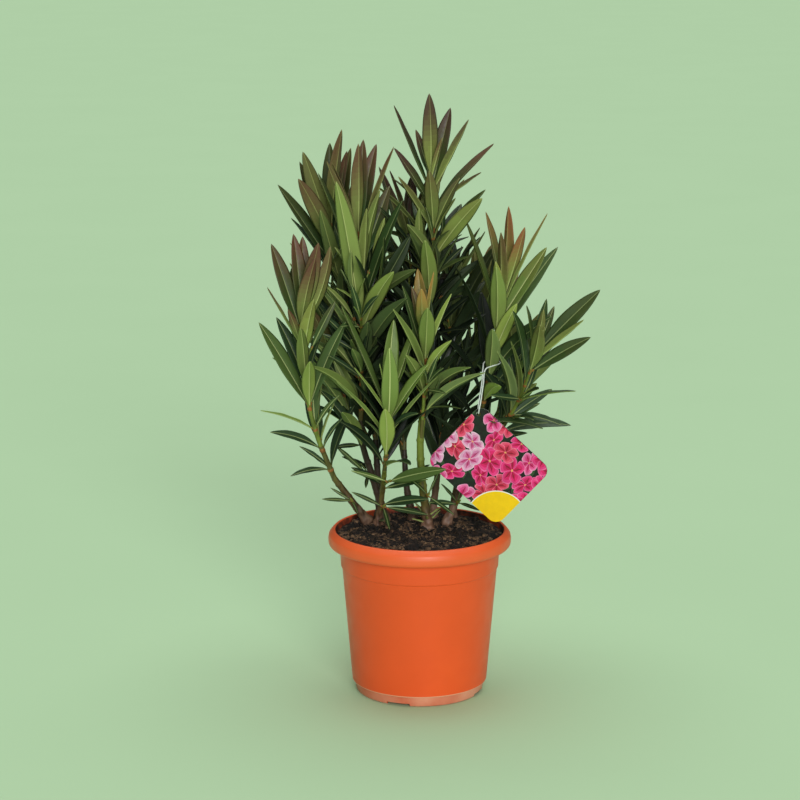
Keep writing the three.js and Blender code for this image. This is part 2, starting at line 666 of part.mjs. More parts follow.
// Every leaf takes the first of its tries that is clear of all else, or isn't grown. The
// leaves with a named tip choose before the others.
function growCrown(solids) {
  const paths = SHOOTS.map(twigPath)
  const twigs = SHOOTS.map((shoot, i) => twigSolid(shoot, paths[i]))
  const grown = [...solids, ...twigs].map((solid, i) => {
    const whole = boxed(solid)
    return { whole, blade: whole, shoot: i - solids.length }
  })
  const bodies = twigs.map((twig) => [twig])
  const places = SHOOTS.flatMap((shoot, i) => leafPlaces(shoot, i, paths[i]))
  for (const wanted of [true, false]) {
    for (const place of places.filter((p) => Boolean(p.held) === wanted)) {
      for (const attempt of leafTries(place)) {
        if (!wanted && !insideCrown(attempt.tip)) continue
        const whole = boxed(leafSolid(place, attempt))
        const blade = boxed(leafSolid(place, attempt, 1))
        const clearOf = (other) => (other.shoot === place.index
          ? clear(blade, other.blade)
          : clear(whole, other.whole))
        if (!grown.every(clearOf)) continue
        grown.push({ whole, blade, shoot: place.index })
        bodies[place.index].push(whole.solid)
        break
      }
    }
  }
  return bodies.map((pieces) => wasm.Manifold.union(pieces))
}

// The assembly

function meshOf(name, solid, colour, roughness) {
  const material = new THREE.MeshStandardMaterial({ color: colour, roughness, metalness: 0 })
  const mesh = new THREE.Mesh(toGeometry(solid), material)
  mesh.name = name
  return mesh
}

const pot = potSolid()
const soil = soilSolid()
const tag = tagSolid()
const tie = tieSolid()
const stems = Object.entries(STEMS).map(([name, stem]) => ({ name, solid: stemSolid(stem) }))
const crown = growCrown([pot, soil, tag, tie, ...stems.map((stem) => stem.solid)])

const group = new THREE.Group()
group.add(meshOf('pot', pot, COLOURS.pot, 0.45))
group.add(meshOf('soil', soil, COLOURS.soil, 0.95))
for (const { name, solid } of stems) group.add(meshOf(`stem_${name}`, solid, COLOURS.stem, 0.8))
SHOOTS.forEach((shoot, i) => {
  const cut = shoot.on ? crown[i].subtract(stemSolid(STEMS[shoot.on], GAP + 0.1)) : crown[i]
  const sprig = shoot.name.startsWith('sprig')
  const name = sprig ? shoot.name : `shoot_${shoot.name}`
  group.add(meshOf(name, cut, sprig ? COLOURS.sprig : COLOURS.leaf, 0.5))
})
group.add(meshOf('tag', tag, COLOURS.tag, 0.35))
group.add(meshOf('tag_tie', tie, COLOURS.tie, 0.4))

export default group
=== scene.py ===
# The looks of the potted oleander: fine leaves, twigs, bark, pot, compost and picture tag, built
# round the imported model. The plant is worked out in millimetres and its meshes are in metres.
from math import ceil, copysign, cos, exp, hypot, pi, radians, sin, sqrt
from types import SimpleNamespace as Sizes

import bpy
import numpy as np
from mathutils import Matrix, Vector, noise
from mathutils.bvhtree import BVHTree
from mathutils.geometry import tessellate_polygon
from mathutils.kdtree import KDTree


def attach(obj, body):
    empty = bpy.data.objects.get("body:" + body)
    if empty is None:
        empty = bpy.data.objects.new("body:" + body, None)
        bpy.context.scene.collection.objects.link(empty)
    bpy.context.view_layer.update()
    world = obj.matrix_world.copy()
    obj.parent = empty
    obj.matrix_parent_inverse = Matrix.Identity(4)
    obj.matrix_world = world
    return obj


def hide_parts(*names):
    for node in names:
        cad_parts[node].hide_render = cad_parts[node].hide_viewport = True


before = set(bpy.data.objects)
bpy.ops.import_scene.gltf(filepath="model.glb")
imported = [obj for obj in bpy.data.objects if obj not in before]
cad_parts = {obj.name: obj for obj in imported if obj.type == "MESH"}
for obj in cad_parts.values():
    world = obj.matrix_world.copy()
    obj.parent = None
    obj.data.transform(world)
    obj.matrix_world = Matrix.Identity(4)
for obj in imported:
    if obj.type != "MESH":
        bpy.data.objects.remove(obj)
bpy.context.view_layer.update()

MM = 0.001
AHEAD = Vector((1, 0, 0))
SIDEWAYS = Vector((0, 1, 0))
UP = Vector((0, 0, 1))

# In radians: the golden angle, and a full turn for what lies any way by chance
GOLDEN_ANGLE = 2.399963
ANY_TURN = 6.3

# What a chance is for, where it isn't a shoot
CRUMBS, FIBRES, PRINTED_LEAVES, FLOWER_SPOTS, FLOWER_LOOKS = 501, 502, 901, 902, 903

# Sizes, most of them the same as in the solids

# How far above the soil or the stem's top a piece starts, and how far the soil is from the wall.
GAP = 0.3
SOIL_GAP = 0.4

POT = Sizes(height=194, foot_radius=74, foot_top_radius=77, foot_height=12.5, body_foot_radius=79.2,
           body_top_radius=90.8, band_foot=149.4, band_radius=93, lip_foot=174.5, rim_radius=107,
           rim_middle=183.5, mouth_radius=98.2, wall=2.4, rim_root_radius=90.6, ledge=179,
           ledge_radius=95.4, floor_under=4, floor_top=6.6, ring_width=4, boss_radius=14,
           notches=4, notch_width=28, notch_height=3.2, first_notch=-110, holes=6, hole_radius=5,
           hole_circle=48)

# The pot's mesh: its sides, the reach of its rounded corners and the angle that stays an edge.
POT_MESH = Sizes(sides=160, rounding=1.4, sharp=35, hole_sides=24)

SOIL = Sizes(edge=187.5, crown=191, crown_radius=76)

# The compost's relief: its mesh, the width and height of each size of lump, how much it has
# settled, where it calms down towards the wall, and how many crumbs and fibres lie on it.
COMPOST = Sizes(sides=220, rings=84, lumps=[(21, 4.2), (8, 3.6), (2.6, 1.8)], settled=1.2,
                calm=(88, 97), patches=19, crumbs=2600, fibres=900)

TAG = Sizes(long=112, short=92, corner=12, thick=0.8, lean=-43, turn=-4, centre=(79, -31, 277),
           hole=(-50, 36), hole_radius=2.6)

# The picture on the card: how many leaves and flowers are tried, how far apart they stay, their
# sizes, and the reach of the corner and of the pale line round it.
PICTURE = Sizes(leaf_tries=60, leaf_gap=9, leaf_length=24, leaf_width=0.26, flower_tries=900,
                flower_gap=18, flower_size=(13, 18), corner=35.8, line=37)

# The tag's cord, and the places that the middle of its closed loop goes through.
TIE = Sizes(radius=0.75, sides=12, steps=9)
TIE_ROUTE = [
    (67, -30.2, 337.8), (67.4, -33.4, 342.5), (69, -31.5, 350), (72.5, -20, 370),
    (75.5, -11, 386), (83, -11.5, 389.5), (91.5, -5, 391), (92, 6, 391.5), (87.2, 13.5, 392),
    (83.6, 15.9, 392), (79.5, 13.8, 392), (74, 4, 390.5), (72.6, -6, 387), (71, -16, 371),
    (67.5, -27, 352), (66.6, -27.2, 342.5)]

# Leaves: how many a whorl has, where they are widest, the stalk's share of their length, how wide
# they are for their length, and how many ways to grow are tried.
LEAF = Sizes(whorl=3, widest=0.5, petiole=0.06, width_per_length=0.165, full_length=100,
            extra_width=0.04, tries=8)

# The space that the finer growth keeps to, as an ellipsoid.
CROWN = Sizes(centre=(8, 45, 420), reach=(190, 160, 300))

# Side sprays, which the solids leave out: the drop below the apex where they begin, the share
# of the axils that bear one, the ranges of their lean, their length and their leaves, and how
# much of the crown's space they may fill from its middle outwards.
SPRAY = Sizes(first_drop=55, share=0.75, lean=(24, 44), length=(14, 34), leaf=(0.4, 0.66),
             inner_share=0.5)

# Arching older leaves, which the solids leave out: how far below each shoot's apex they begin and
# end, the distance between their whorls, their length as a share of the shoot's and their lean.
ARCHING = dict(front=(44, 92), top=(262, 300), mid_left=(215, 275), rear_left=(235, 285),
               right=(168, 225), far_right=(105, 150), rear=(225, 265), rear_right=(185, 235))
ARCH = Sizes(pitch=23, length=(0.7, 0.95), lean=(46, 62))

# Bare stems: the route from the soil up, and the radius at the foot and at the top.
STEMS = dict(
    top=dict(route=[(10, 14, 0), (2, 6, 250), (0, 3, 299), (3, 3, 329)], radius=(5.4, 3.8)),
    rear_left=dict(route=[(-47, 58, 0), (-50, 66, 248), (-52, 70, 284)], radius=(4.8, 3.4)),
    mid_left=dict(route=[(-40, 45, 0), (-56, 50, 245), (-68, 42, 284), (-69, 38, 315)],
                  radius=(4.8, 3.2)),
    left=dict(route=[(-62, 42, 0), (-82, 36, 220), (-100, 30, 246)], radius=(4.8, 3.6)),
    front=dict(route=[(-49, 28, 0), (-44, 22, 228), (-41, 8, 262)], radius=(3.6, 2.8)),
    right=dict(route=[(38, 58, 0), (46, 58, 237), (57, 46, 283), (71, 34, 322)],
               radius=(4.6, 3.2)),
    far_right=dict(route=[(32, 36, 0), (52, 38, 238), (78, 38, 281), (95, 38, 303)],
                   radius=(4.2, 3)),
    rear=dict(route=[(-8, 48, 0), (-16, 60, 230), (-18, 72, 271)], radius=(4.4, 3.2)),
    rear_right=dict(route=[(15, 58, 0), (21, 70, 234), (26, 76, 276)], radius=(4.6, 3.2)))

# The stems' meshes and leaf scars: how far the foot is sunk into the compost, and where the rings
# of scars begin below the top, how far apart they stand and how low the last one may be.
BARK = Sizes(sides=36, step=1.1, sunk=4, scars=12, first_scar=9, scar_gap=21, last_scar=20)

# Lone leaves low on the stems: the stem, the drop below its top, and where the leaf ends.
LOW_LEAVES = [
    ("mid_left", 32, -105, 26, 284), ("mid_left", 60, -102, 20, 258), ("front", 22, -80, -4, 268),
    ("front", 46, -78, -2, 232), ("front", 28, 18, -16, 258), ("front", 50, 10, -12, 232),
    ("top", 108, 42, -12, 226), ("top", 122, -34, -14, 210), ("rear_left", 40, -92, 50, 268),
    ("rear", 38, 12, 34, 262), ("right", 92, 70, 24, 252), ("front", 70, -40, -20, 208)]

# The shoots that bear side sprays. The right side stays open, as the photo shows sky there.
SPRAYED = ["top", "rear_left", "mid_left", "left", "far_right", "rear", "rear_right", "centre",
           "back_left", "back", "side_left"]

# Leafy shoots, with the same values as in the solids. First, what the shoots at the back and the
# sides share, and what the sprigs share.
BACK = dict(radius=(2.6, 1.4), pitch=30, length=125, bare=42, tips=[])
SIDE = dict(radius=(2.5, 1.4), pitch=28, lean=(14, 44), bare=40, tips=[])
SPRIG = dict(radius=(1.8, 1.4), pitch=40, length=45, lean=(60, 60), turn=60, bare=0)
SHOOTS = [
    dict(name="top", route=[(8, 12, 416), (16, 28, 504), (15, 27, 562), (12, 25, 602)],
         radius=(3.6, 1.5), pitch=32, length=126, lean=(12, 40), turn=10, bare=8,
         tips=[(0, 10, 8, 700, 0), (0, -5, 50, 655, 0), (0, 25, 12, 650, -20),
               (1, -30, 30, 685, 10), (1, 35, 50, 680, 20), (1, 55, 15, 670, -25),
               (2, -30, 40, 635, 15), (2, 85, 40, 640, 10), (2, 70, 15, 610, -25),
               (3, 45, 5, 605, -35), (3, 10, -12, 615, 0), (3, -25, 15, 605, -25),
               (4, 75, 15, 590, 45), (4, -15, -20, 555, -30), (4, 70, -22, 585, -40),
               (6, 5, -40, 540, 0)]),
    dict(name="rear_left", route=[(-68, 74, 368), (-90, 72, 464), (-104, 70, 538)],
         radius=(3.2, 1.4), pitch=31, length=130, lean=(12, 40), turn=40, bare=15,
         tips=[(0, -90, 52, 655, -20), (0, -105, 92, 635, 10), (1, -135, 45, 630, -35),
               (1, -85, 100, 625, 0), (2, -140, 75, 615, 35), (2, -140, 35, 600, -40),
               (3, -165, 60, 590, 45)]),
    dict(name="mid_left",
         route=[(-67, 30, 377), (-68, 22, 425), (-65, 18, 461), (-68, 14, 506), (-71, 12, 537)],
         radius=(3.1, 1.4), pitch=30, length=136, lean=(12, 40), turn=75, bare=8,
         tips=[(0, -70, -8, 645, 0), (0, -65, 35, 645, 0), (1, -50, 35, 640, 10),
               (1, -30, 8, 640, -20), (2, -80, 45, 590, 10), (2, -35, 50, 590, 20),
               (4, -20, 0, 580, 40), (5, -95, -28, 605, -25), (5, -30, -45, 505, -30)]),
    dict(name="left",
         route=[(-114, 20, 283), (-121, 14, 305), (-129, 5, 339), (-135, -3, 389),
                (-138, -8, 431), (-135, -10, 445)],
         radius=(3.4, 1.4), pitch=28, length=110, lean=(13, 42), turn=20, bare=0,
         tips=[(0, -115, -28, 535, 0), (0, -145, 8, 540, 10), (0, -135, 22, 535, 0),
               (1, -170, -2, 530, 25), (1, -100, -12, 535, -30), (2, -175, -2, 480, -30),
               (2, -150, -35, 460, -20), (3, -120, -55, 475, 0), (5, -185, -8, 440, 45),
               (5, -125, -50, 403, 0), (5, -85, 0, 440, 35), (6, -185, 0, 335, -30),
               (6, -93, 10, 351, 30), (6, -128, 75, 380, 0), (7, -174, 0, 309, 35),
               (7, -89, 10, 324, 30), (8, -151, 5, 255, 30), (8, -141, 22, 287, 20)]),
    dict(name="front", route=[(-38, -6, 301), (-37, -22, 332), (-36, -28, 349)],
         radius=(2.7, 1.4), pitch=26, length=100, lean=(13, 40), turn=5, bare=4,
         tips=[(0, -30, -15, 445, 0), (0, -5, -20, 440, -30), (1, -90, -10, 460, -35),
               (1, -75, -45, 395, -30), (2, -35, -55, 420, 0), (2, -71, -30, 433, -30),
               (3, 20, -35, 383, -30), (4, -40, -60, 350, 0)]),
    dict(name="centre", on="top", route=[(1, 3, 296), (5, -12, 356), (6, -24, 391), (4, -30, 424)],
         radius=(2.5, 1.4), pitch=24, length=105, lean=(14, 42), turn=30, bare=28,
         tips=[(0, 15, -45, 505, -15), (0, -10, -25, 485, 0), (2, 35, -45, 480, -30),
               (3, 35, -65, 430, -30)]),
    dict(name="right", route=[(78, 20, 357), (86, 8, 410), (92, 2, 443), (96, 0, 469)],
         radius=(3.1, 1.4), pitch=27, length=118, lean=(13, 42), turn=50, bare=4,
         tips=[(0, 100, -14, 575, -10), (0, 75, 12, 565, 0), (1, 145, 0, 565, -25),
               (2, 85, -35, 515, 0), (2, 145, 5, 525, 40), (1, 115, 35, 495, 0),
               (3, 160, 40, 520, 0), (4, 110, -25, 465, -25), (5, 150, -25, 450, 45),
               (6, 90, -50, 375, -20)]),
    dict(name="far_right", route=[(111, 24, 332), (125, 0, 373), (133, -12, 406)],
         radius=(2.9, 1.4), pitch=24, length=105, lean=(15, 42), turn=15, bare=0,
         tips=[(0, 205, -20, 480, 35), (0, 155, 15, 455, 0), (0, 140, -35, 460, 0),
               (1, 185, -45, 450, -30), (2, 195, -20, 425, 40), (1, 115, 15, 440, 0),
               (4, 180, -10, 360, -25), (4, 135, -45, 370, 45), (5, 165, 10, 315, 30)]),
    dict(name="rear", route=[(-17, 84, 353), (-12, 90, 449), (-11, 88, 521)],
         radius=(3, 1.4), pitch=32, length=132, lean=(13, 42), turn=0, bare=6,
         tips=[(0, -35, 75, 605, 0), (1, -10, 100, 595, 0)]),
    dict(name="rear_right", route=[(32, 76, 343), (36, 70, 416), (39, 66, 471)],
         radius=(3.1, 1.4), pitch=31, length=125, lean=(14, 42), turn=65, bare=6,
         tips=[(0, 70, 60, 540, 10), (0, 75, 30, 540, 30), (1, 60, 85, 520, 0)]),
    dict(BACK, name="back_left", on="rear_left", length=122, lean=(15, 42), turn=25,
         route=[(-50, 66, 262), (-69, 92, 297), (-95, 115, 359), (-113, 124, 421)]),
    dict(BACK, name="back", on="rear", lean=(14, 42), turn=10,
         route=[(-17, 66, 251), (-25, 96, 287), (-35, 128, 369), (-42, 140, 440)]),
    dict(BACK, name="back_right", on="rear_right", lean=(15, 42), turn=45,
         route=[(23, 72, 255), (39, 98, 294), (61, 124, 364), (71, 134, 419)]),
    dict(SIDE, name="side_right", on="right", length=108, lean=(16, 44), turn=35,
         route=[(48, 56, 245), (68, 78, 272), (97, 98, 314), (115, 106, 361)]),
    dict(SIDE, name="side_left", on="mid_left", length=104, turn=0, bare=36,
         route=[(-62, 46, 265), (-77, 58, 301), (-92, 72, 344), (-101, 80, 391)]),
    dict(SPRIG, name="sprig_front", on="front", route=[(-43, 18, 241), (-36, 2, 250)], length=60,
         tips=[(0, 30, -62, 280, 35), (0, -80, -8, 265, 30), (0, 10, -10, 255, 30)]),
    dict(SPRIG, name="sprig_foot", on="front", route=[(-47, 26, 208), (-42, 14, 217)], length=50,
         tips=[(0, -35, -22, 198, 30), (0, 10, 0, 210, 30), (0, -80, 10, 235, 30)]),
    dict(SPRIG, name="sprig_left", on="left", route=[(-76, 38, 211), (-80, 26, 221)], length=40,
         tips=[(0, -115, 15, 225, 30), (0, -105, 30, 235, 20)]),
    dict(SPRIG, name="sprig_mid", on="mid_left", route=[(-54, 49, 239), (-62, 38, 250)], length=50,
         lean=(50, 50), tips=[(0, -100, 40, 285, 30), (0, -70, 30, 265, 20)]),
    dict(SPRIG, name="sprig_main", on="top", route=[(5, 9, 225), (10, -4, 235)],
         tips=[(0, 40, -20, 215, 30), (0, -25, -15, 265, 20)]),
    dict(SPRIG, name="sprig_right", on="far_right", route=[(40, 37, 211), (46, 26, 219)],
         tips=[(0, 70, 0, 215, 30), (0, 25, 10, 245, 0)])]


# Numbers and curves

def mix(a, b, t):
    return a + (b - a) * t


def clamp(value, low=0.0, high=1.0):
    return max(low, min(high, value))


def smooth(low, high, value):
    t = clamp((value - low) / (high - low))
    return t * t * (3 - 2 * t)


def chance(shoot, place, use):
    """A number from 0 to 1 that depends only on the shoot, the place and what it is for."""
    full = 0xFFFFFFFF
    h = (shoot * 73856093 ^ place * 19349663 ^ use * 83492791) & full
    h ^= h >> 16
    h = h * 0x7FEB352D & full
    h ^= h >> 15
    h = h * 0x846CA68B & full
    h ^= h >> 16
    return h / 4294967296


def vectors(route):
    return [Vector(p) for p in route]


def softened(points):
    """Chaikin's corner cutting, once, with both ends kept."""
    out = [points[0]]
    for i, (a, b) in enumerate(zip(points, points[1:])):
        if i > 0:
            out.append(a.lerp(b, 0.25))
        if i < len(points) - 2:
            out.append(a.lerp(b, 0.75))
    out.append(points[-1])
    return out


def path_length(points):
    return sum((b - a).length for a, b in zip(points, points[1:]))


def path_at(points, drop):
    """The place at a distance below a path's upper end, and the path's direction there."""
    left = drop
    for i in range(len(points) - 1, 0, -1):
        step = (points[i] - points[i - 1]).length
        if left <= step or i == 1:
            along = (points[i] - points[i - 1]).normalized()
            return points[i].lerp(points[i - 1], left / step), along
        left -= step


def direction_at(points, i):
    return (points[min(len(points) - 1, i + 1)] - points[max(0, i - 1)]).normalized()


def across(along):
    """Two directions square to a twig: the first one looks as far to +X as it can."""
    first = (AHEAD - along * along.x).normalized()
    return first, along.cross(first)


def between(pair, angle):
    """The direction at an angle from the first of two square directions to the second."""
    first, second = pair
    return first * cos(angle) + second * sin(angle)


def even_path(points, step, sunk=0):
    """The path with its corners eased further, in even steps, with its direction at each.

    Where it starts inside something, one more place lies before its start.
    """
    for _ in range(3):
        points = softened(points)
    whole = path_length(points)
    count = max(2, round(whole / step))
    marks = [whole * i / count for i in range(count + 1)]
    places, alongs = map(list, zip(*(path_at(points, whole - mark) for mark in marks)))
    if sunk:
        marks.insert(0, 0)
        places.insert(0, places[0] - alongs[0] * sunk)
        alongs.insert(0, alongs[0])
    return marks, places, alongs


# Meshes

def in_scene(name, data):
    thing = bpy.data.objects.new(name, data)
    bpy.context.scene.collection.objects.link(thing)
    return thing


class Build:
    """Collects rings, faces and their materials, in millimetres, for one object."""

    def __init__(self):
        self.points = []
        self.faces = []
        self.slots = []
        self.materials = []
        self.uvs = []
        self.count = 0

    def slot(self, material):
        if material not in self.materials:
            self.materials.append(material)
        return self.materials.index(material)

    def add(self, points, faces, slots, uvs=None):
        """Adds faces, with a slot for each or one for all of them."""
        points = np.asarray(points, float)
        self.points.append(points)
        self.faces.extend(tuple(self.count + i for i in face) for face in faces)
        self.slots.extend(slots if isinstance(slots, list) else [slots] * len(faces))
        self.uvs.append(np.zeros((len(points), 2)) if uvs is None else uvs)
        self.count += len(points)

    def add_tube(self, places, alongs, radii, sides, slots, relief=None):
        """A tube along a path; relief gives each point's share of the radius."""
        points = []
        for i, (at, along, radius) in enumerate(zip(places, alongs, radii)):
            pair = across(along)
            for j in range(sides):
                share = relief(i, j) if relief else 1
                points.append(at + between(pair, 2 * pi * j / sides) * radius * share)
        self.add(points, ring_faces(len(places), sides), slots)

    def finish(self, name, slot, *nodes, smooth_faces=True):
        mesh = bpy.data.meshes.new(name)
        points = np.concatenate(self.points) * MM
        mesh.from_pydata(points.tolist(), [], self.faces)
        for material in self.materials:
            mesh.materials.append(material)
        mesh.polygons.foreach_set("material_index", self.slots)
        mesh.polygons.foreach_set("use_smooth", [smooth_faces] * len(mesh.polygons))
        corners = np.empty(len(mesh.loops), int)
        mesh.loops.foreach_get("vertex_index", corners)
        layer = mesh.uv_layers.new(name="place")
        layer.data.foreach_set("uv", np.concatenate(self.uvs)[corners].ravel())
        mesh.update()
        piece = in_scene(name, mesh)
        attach(piece, "root")
        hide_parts(*nodes)
        return piece


def ring_faces(rings, around):
    """Faces of a tube of rings of points, with a fan at its foot and at its end."""
    faces = [tuple(range(around - 1, -1, -1))]
    for low in range(0, (rings - 1) * around, around):
        for j in range(around):
            k = (j + 1) % around
            faces.append((low + j, low + k, low + around + k, low + around + j))
    faces.append(tuple(range((rings - 1) * around, rings * around)))
    return faces


# Materials

def linear(colour):
    """A display colour, 0 to 255, as the light that a shader wants."""
    shares = [c / 255 for c in colour]
    return [c / 12.92 if c < 0.04045 else ((c + 0.055) / 1.055) ** 2.4 for c in shares]


def set_values(node, values):
    for key, value in values.items():
        if key in node.inputs:
            node.inputs[key].default_value = value
        else:
            setattr(node, key, value)


class Surface:
    """A material with a principled shader and a short way to add nodes to it."""

    def __init__(self, name, colour, **values):
        self.made = bpy.data.materials.new(name)
        self.made.use_nodes = True
        self.tree = self.made.node_tree
        self.shader = self.tree.nodes["Principled BSDF"]
        self.shader.inputs["Base Color"].default_value = (*linear(colour), 1)
        set_values(self.shader, values)
        self.made.diffuse_color = (*linear(colour), 1)
        self.place = self.tree.nodes.new("ShaderNodeTexCoord")

    def add(self, kind, links=None, **values):
        node = self.tree.nodes.new("ShaderNode" + kind)
        set_values(node, values)
        for key, source in (links or {}).items():
            self.tree.links.new(source, node.inputs[key])
        return node

    def calc(self, operation, *values):
        """A sum of sockets and plain numbers."""
        node = self.add("Math", operation=operation)
        for entry, value in zip(node.inputs, values):
            if isinstance(value, (int, float)):
                entry.default_value = value
            else:
                self.tree.links.new(value, entry)
        return node.outputs[0]

    def noise(self, scale, detail, stretch=None):
        """Noise in the object's own space; stretch scales it along x, y and z."""
        where = self.place.outputs["Object"]
        if stretch:
            where = self.add("Mapping", {"Vector": where}, Scale=stretch).outputs[0]
        return self.add("TexNoise", {"Vector": where}, Scale=scale, Detail=detail).outputs["Fac"]

    def ramp(self, source, stops):
        """Colours at places from 0 to 1."""
        node = self.add("ValToRGB", {"Fac": source})
        while len(node.color_ramp.elements) < len(stops):
            node.color_ramp.elements.new(0.5)
        for element, (place, colour) in zip(node.color_ramp.elements, stops):
            element.position = place
            element.color = (*linear(colour), 1)
        return node.outputs["Color"]

    def spread(self, source, low, high, start=0.3, end=0.7):
        """The source's values from start to end as values from low to high."""
        node = self.add("MapRange", {"Value": source})
        set_values(node, {"From Min": start, "From Max": end, "To Min": low, "To Max": high})
        return node.outputs["Result"]

    def bump(self, source, strength, distance):
        node = self.add("Bump", {"Height": source}, Strength=strength, Distance=distance)
        normal = self.shader.inputs["Normal"]
        if normal.is_linked:
            self.tree.links.new(normal.links[0].from_socket, node.inputs["Normal"])
        self.tree.links.new(node.outputs["Normal"], normal)

    def drive(self, key, source):
        self.tree.links.new(source, self.shader.inputs[key])


def patterned(name, colour, roughness, tint=None, rough=None, bumps=(), specular=0.5):
    """A material that follows noises, each given as its scale, its detail and its stretch.

    The tint is a noise and the stops of its colours, rough is a noise and its range, and each
    bump is a noise, its strength and its depth in metres.
    """
    surface = Surface(name, colour, **{"Roughness": roughness, "Specular IOR Level": specular})
    if tint:
        source, stops = tint
        surface.drive("Base Color", surface.ramp(surface.noise(*source), stops))
    if rough:
        source, low, high = rough
        surface.drive("Roughness", surface.spread(surface.noise(*source), low, high))
    for source, strength, depth in bumps:
        surface.bump(surface.noise(*source), strength, depth)
    return surface.made


# Pot

def body_radius(z):
    share = (z - POT.foot_height) / (POT.band_foot - POT.foot_height)
    return mix(POT.body_foot_radius, POT.body_top_radius, share)


def inside_profile():
    """The inside of the pot: a cone up to the rim, which it widens into."""
    return [(POT.foot_top_radius - POT.wall, POT.floor_top),
            (POT.body_top_radius - POT.wall, POT.band_foot),
            (POT.rim_root_radius, POT.lip_foot), (POT.ledge_radius, POT.ledge),
            (POT.mouth_radius, POT.height - 1.4)]


def inner_radius(z):
    profile = inside_profile()
    i = next((k for k in range(1, len(profile)) if profile[k][1] >= z), len(profile) - 1)
    (low, z_low), (high, z_high) = profile[i - 1], profile[i]
    return mix(low, high, (z - z_low) / (z_high - z_low))


def outside_profile():
    """The underside, the foot, the body, the step of the band and the rolled rim."""
    ring = POT.foot_radius - POT.ring_width
    rim = POT.rim_radius
    lip = POT.lip_foot
    top = POT.height
    return [(POT.boss_radius, 0), (POT.boss_radius + 1.5, POT.floor_under),
            (ring - 1, POT.floor_under), (ring, 0), (POT.foot_radius, 0),
            (POT.foot_top_radius, POT.foot_height - 0.8),
            (POT.body_foot_radius, POT.foot_height),
            (body_radius(POT.band_foot), POT.band_foot),
            (POT.band_radius - 0.8, POT.band_foot + 1), (POT.band_radius + 0.6, lip),
            (rim - 4.2, lip), (rim - 1.6, lip + 1.6), (rim - 0.3, POT.rim_middle - 5),
            (rim, POT.rim_middle), (rim - 0.8, POT.rim_middle + 4.6),
            (rim - 2.9, top - 3.2), (rim - 6, top), (POT.mouth_radius + 1, top)]


def rounded(profile, radius):
    """The profile with every corner turned into a short arc of at most this reach."""
    out = [profile[0]]
    corners = vectors(profile)
    for a, b, c in zip(corners, corners[1:], corners[2:]):
        reach = min(radius, 0.4 * (a - b).length, 0.4 * (c - b).length)
        start, end = (b + (p - b).normalized() * reach for p in (a, c))
        out += [tuple(start.lerp(b, t).lerp(b.lerp(end, t), t)) for t in (0, 0.25, 0.5, 0.75, 1)]
    out.append(profile[-1])
    return out


def turned(profile, sides, height=None):
    """A profile turned round the axis, from its first point to its last, both on the axis."""
    points = [(0, 0, profile[0][1])]
    for radius, z in profile[1:-1]:
        for j in range(sides):
            a = 2 * pi * j / sides
            x, y = radius * cos(a), radius * sin(a)
            points.append((x, y, height(x, y) if z is None else z))
    points.append((0, 0, profile[-1][1]))
    rings = len(profile) - 2
    last = 1 + (rings - 1) * sides
    faces = []
    for j in range(sides):
        k = (j + 1) % sides
        faces.append((0, 1 + k, 1 + j))
        faces.append((len(points) - 1, last + j, last + k))
        for i in range(rings - 1):
            low = 1 + i * sides
            faces.append((low + j, low + k, low + sides + k, low + sides + j))
    return points, faces


def foot_cuts():
    """The notches in the foot ring and the drainage holes, joined as one cutter."""
    cuts = Build()
    high = POT.notch_height * UP
    for i in range(POT.notches):
        way = between((AHEAD, SIDEWAYS), radians(POT.first_notch + 360 * i / POT.notches))
        side = UP.cross(way)
        middle = way * (POT.foot_radius - POT.ring_width / 2)
        points = []
        for wide, level in ((1.06, -high), (1, high)):
            for x, y in ((-1, -wide), (1, -wide), (1, wide), (-1, wide)):
                spot = middle + way * x * 1.5 * POT.ring_width
                points.append(spot + side * y * POT.notch_width / 2 + level)
        cuts.add(points, ring_faces(2, 4), 0)
    for i in range(POT.holes):
        centre = between((AHEAD, SIDEWAYS), 2 * pi * (i + 0.5) / POT.holes) * POT.hole_circle
        ends = [centre + z * UP for z in (-3, 9)]
        cuts.add_tube(ends, [UP] * 2, [POT.hole_radius] * 2, POT_MESH.hole_sides, 0)
    mesh = bpy.data.meshes.new("foot_cuts")
    mesh.from_pydata((np.concatenate(cuts.points) * MM).tolist(), [], cuts.faces)
    return bpy.data.objects.new("foot_cuts", mesh)


def cut_away(piece, cutter):
    """Cuts one object out of another for good, and removes the cutter."""
    bpy.context.scene.collection.objects.link(cutter)
    change = piece.modifiers.new("cut", "BOOLEAN")
    change.operation = "DIFFERENCE"
    change.solver = "EXACT"
    change.object = cutter
    with bpy.context.temp_override(object=piece, active_object=piece):
        bpy.ops.object.modifier_apply(modifier=change.name)
    bpy.data.objects.remove(cutter)


def pot_plastic(name, colour):
    """Moulded plastic: cloudy colour, a soft sheen and faint upright flow marks."""
    fine, flow = (60, 5), (14, 3, (1, 1, 0.12))
    dark = [c * 0.965 for c in colour]
    pale = [min(255, c * 1.03 + 4) for c in colour]
    return patterned(name, colour, 0.42, ((9, 4), [(0.3, dark), (0.55, colour), (0.75, pale)]),
                     (fine, 0.36, 0.5), [(flow, 0.25, 0.0006), (fine, 0.12, 0.0003)])


def foot_plastic():
    """The foot ring is thinner plastic: paler, pinkish and dusty."""
    cloud = (22, 5)
    stops = [(0.3, (222, 106, 74)), (0.42, (230, 130, 100)), (0.6, (240, 154, 124)),
             (0.75, (248, 178, 150))]
    return patterned("pot_foot_plastic", (232, 136, 108), 0.5, (cloud, stops), (cloud, 0.4, 0.6),
                     [((120, 4), 0.15, 0.0003)])


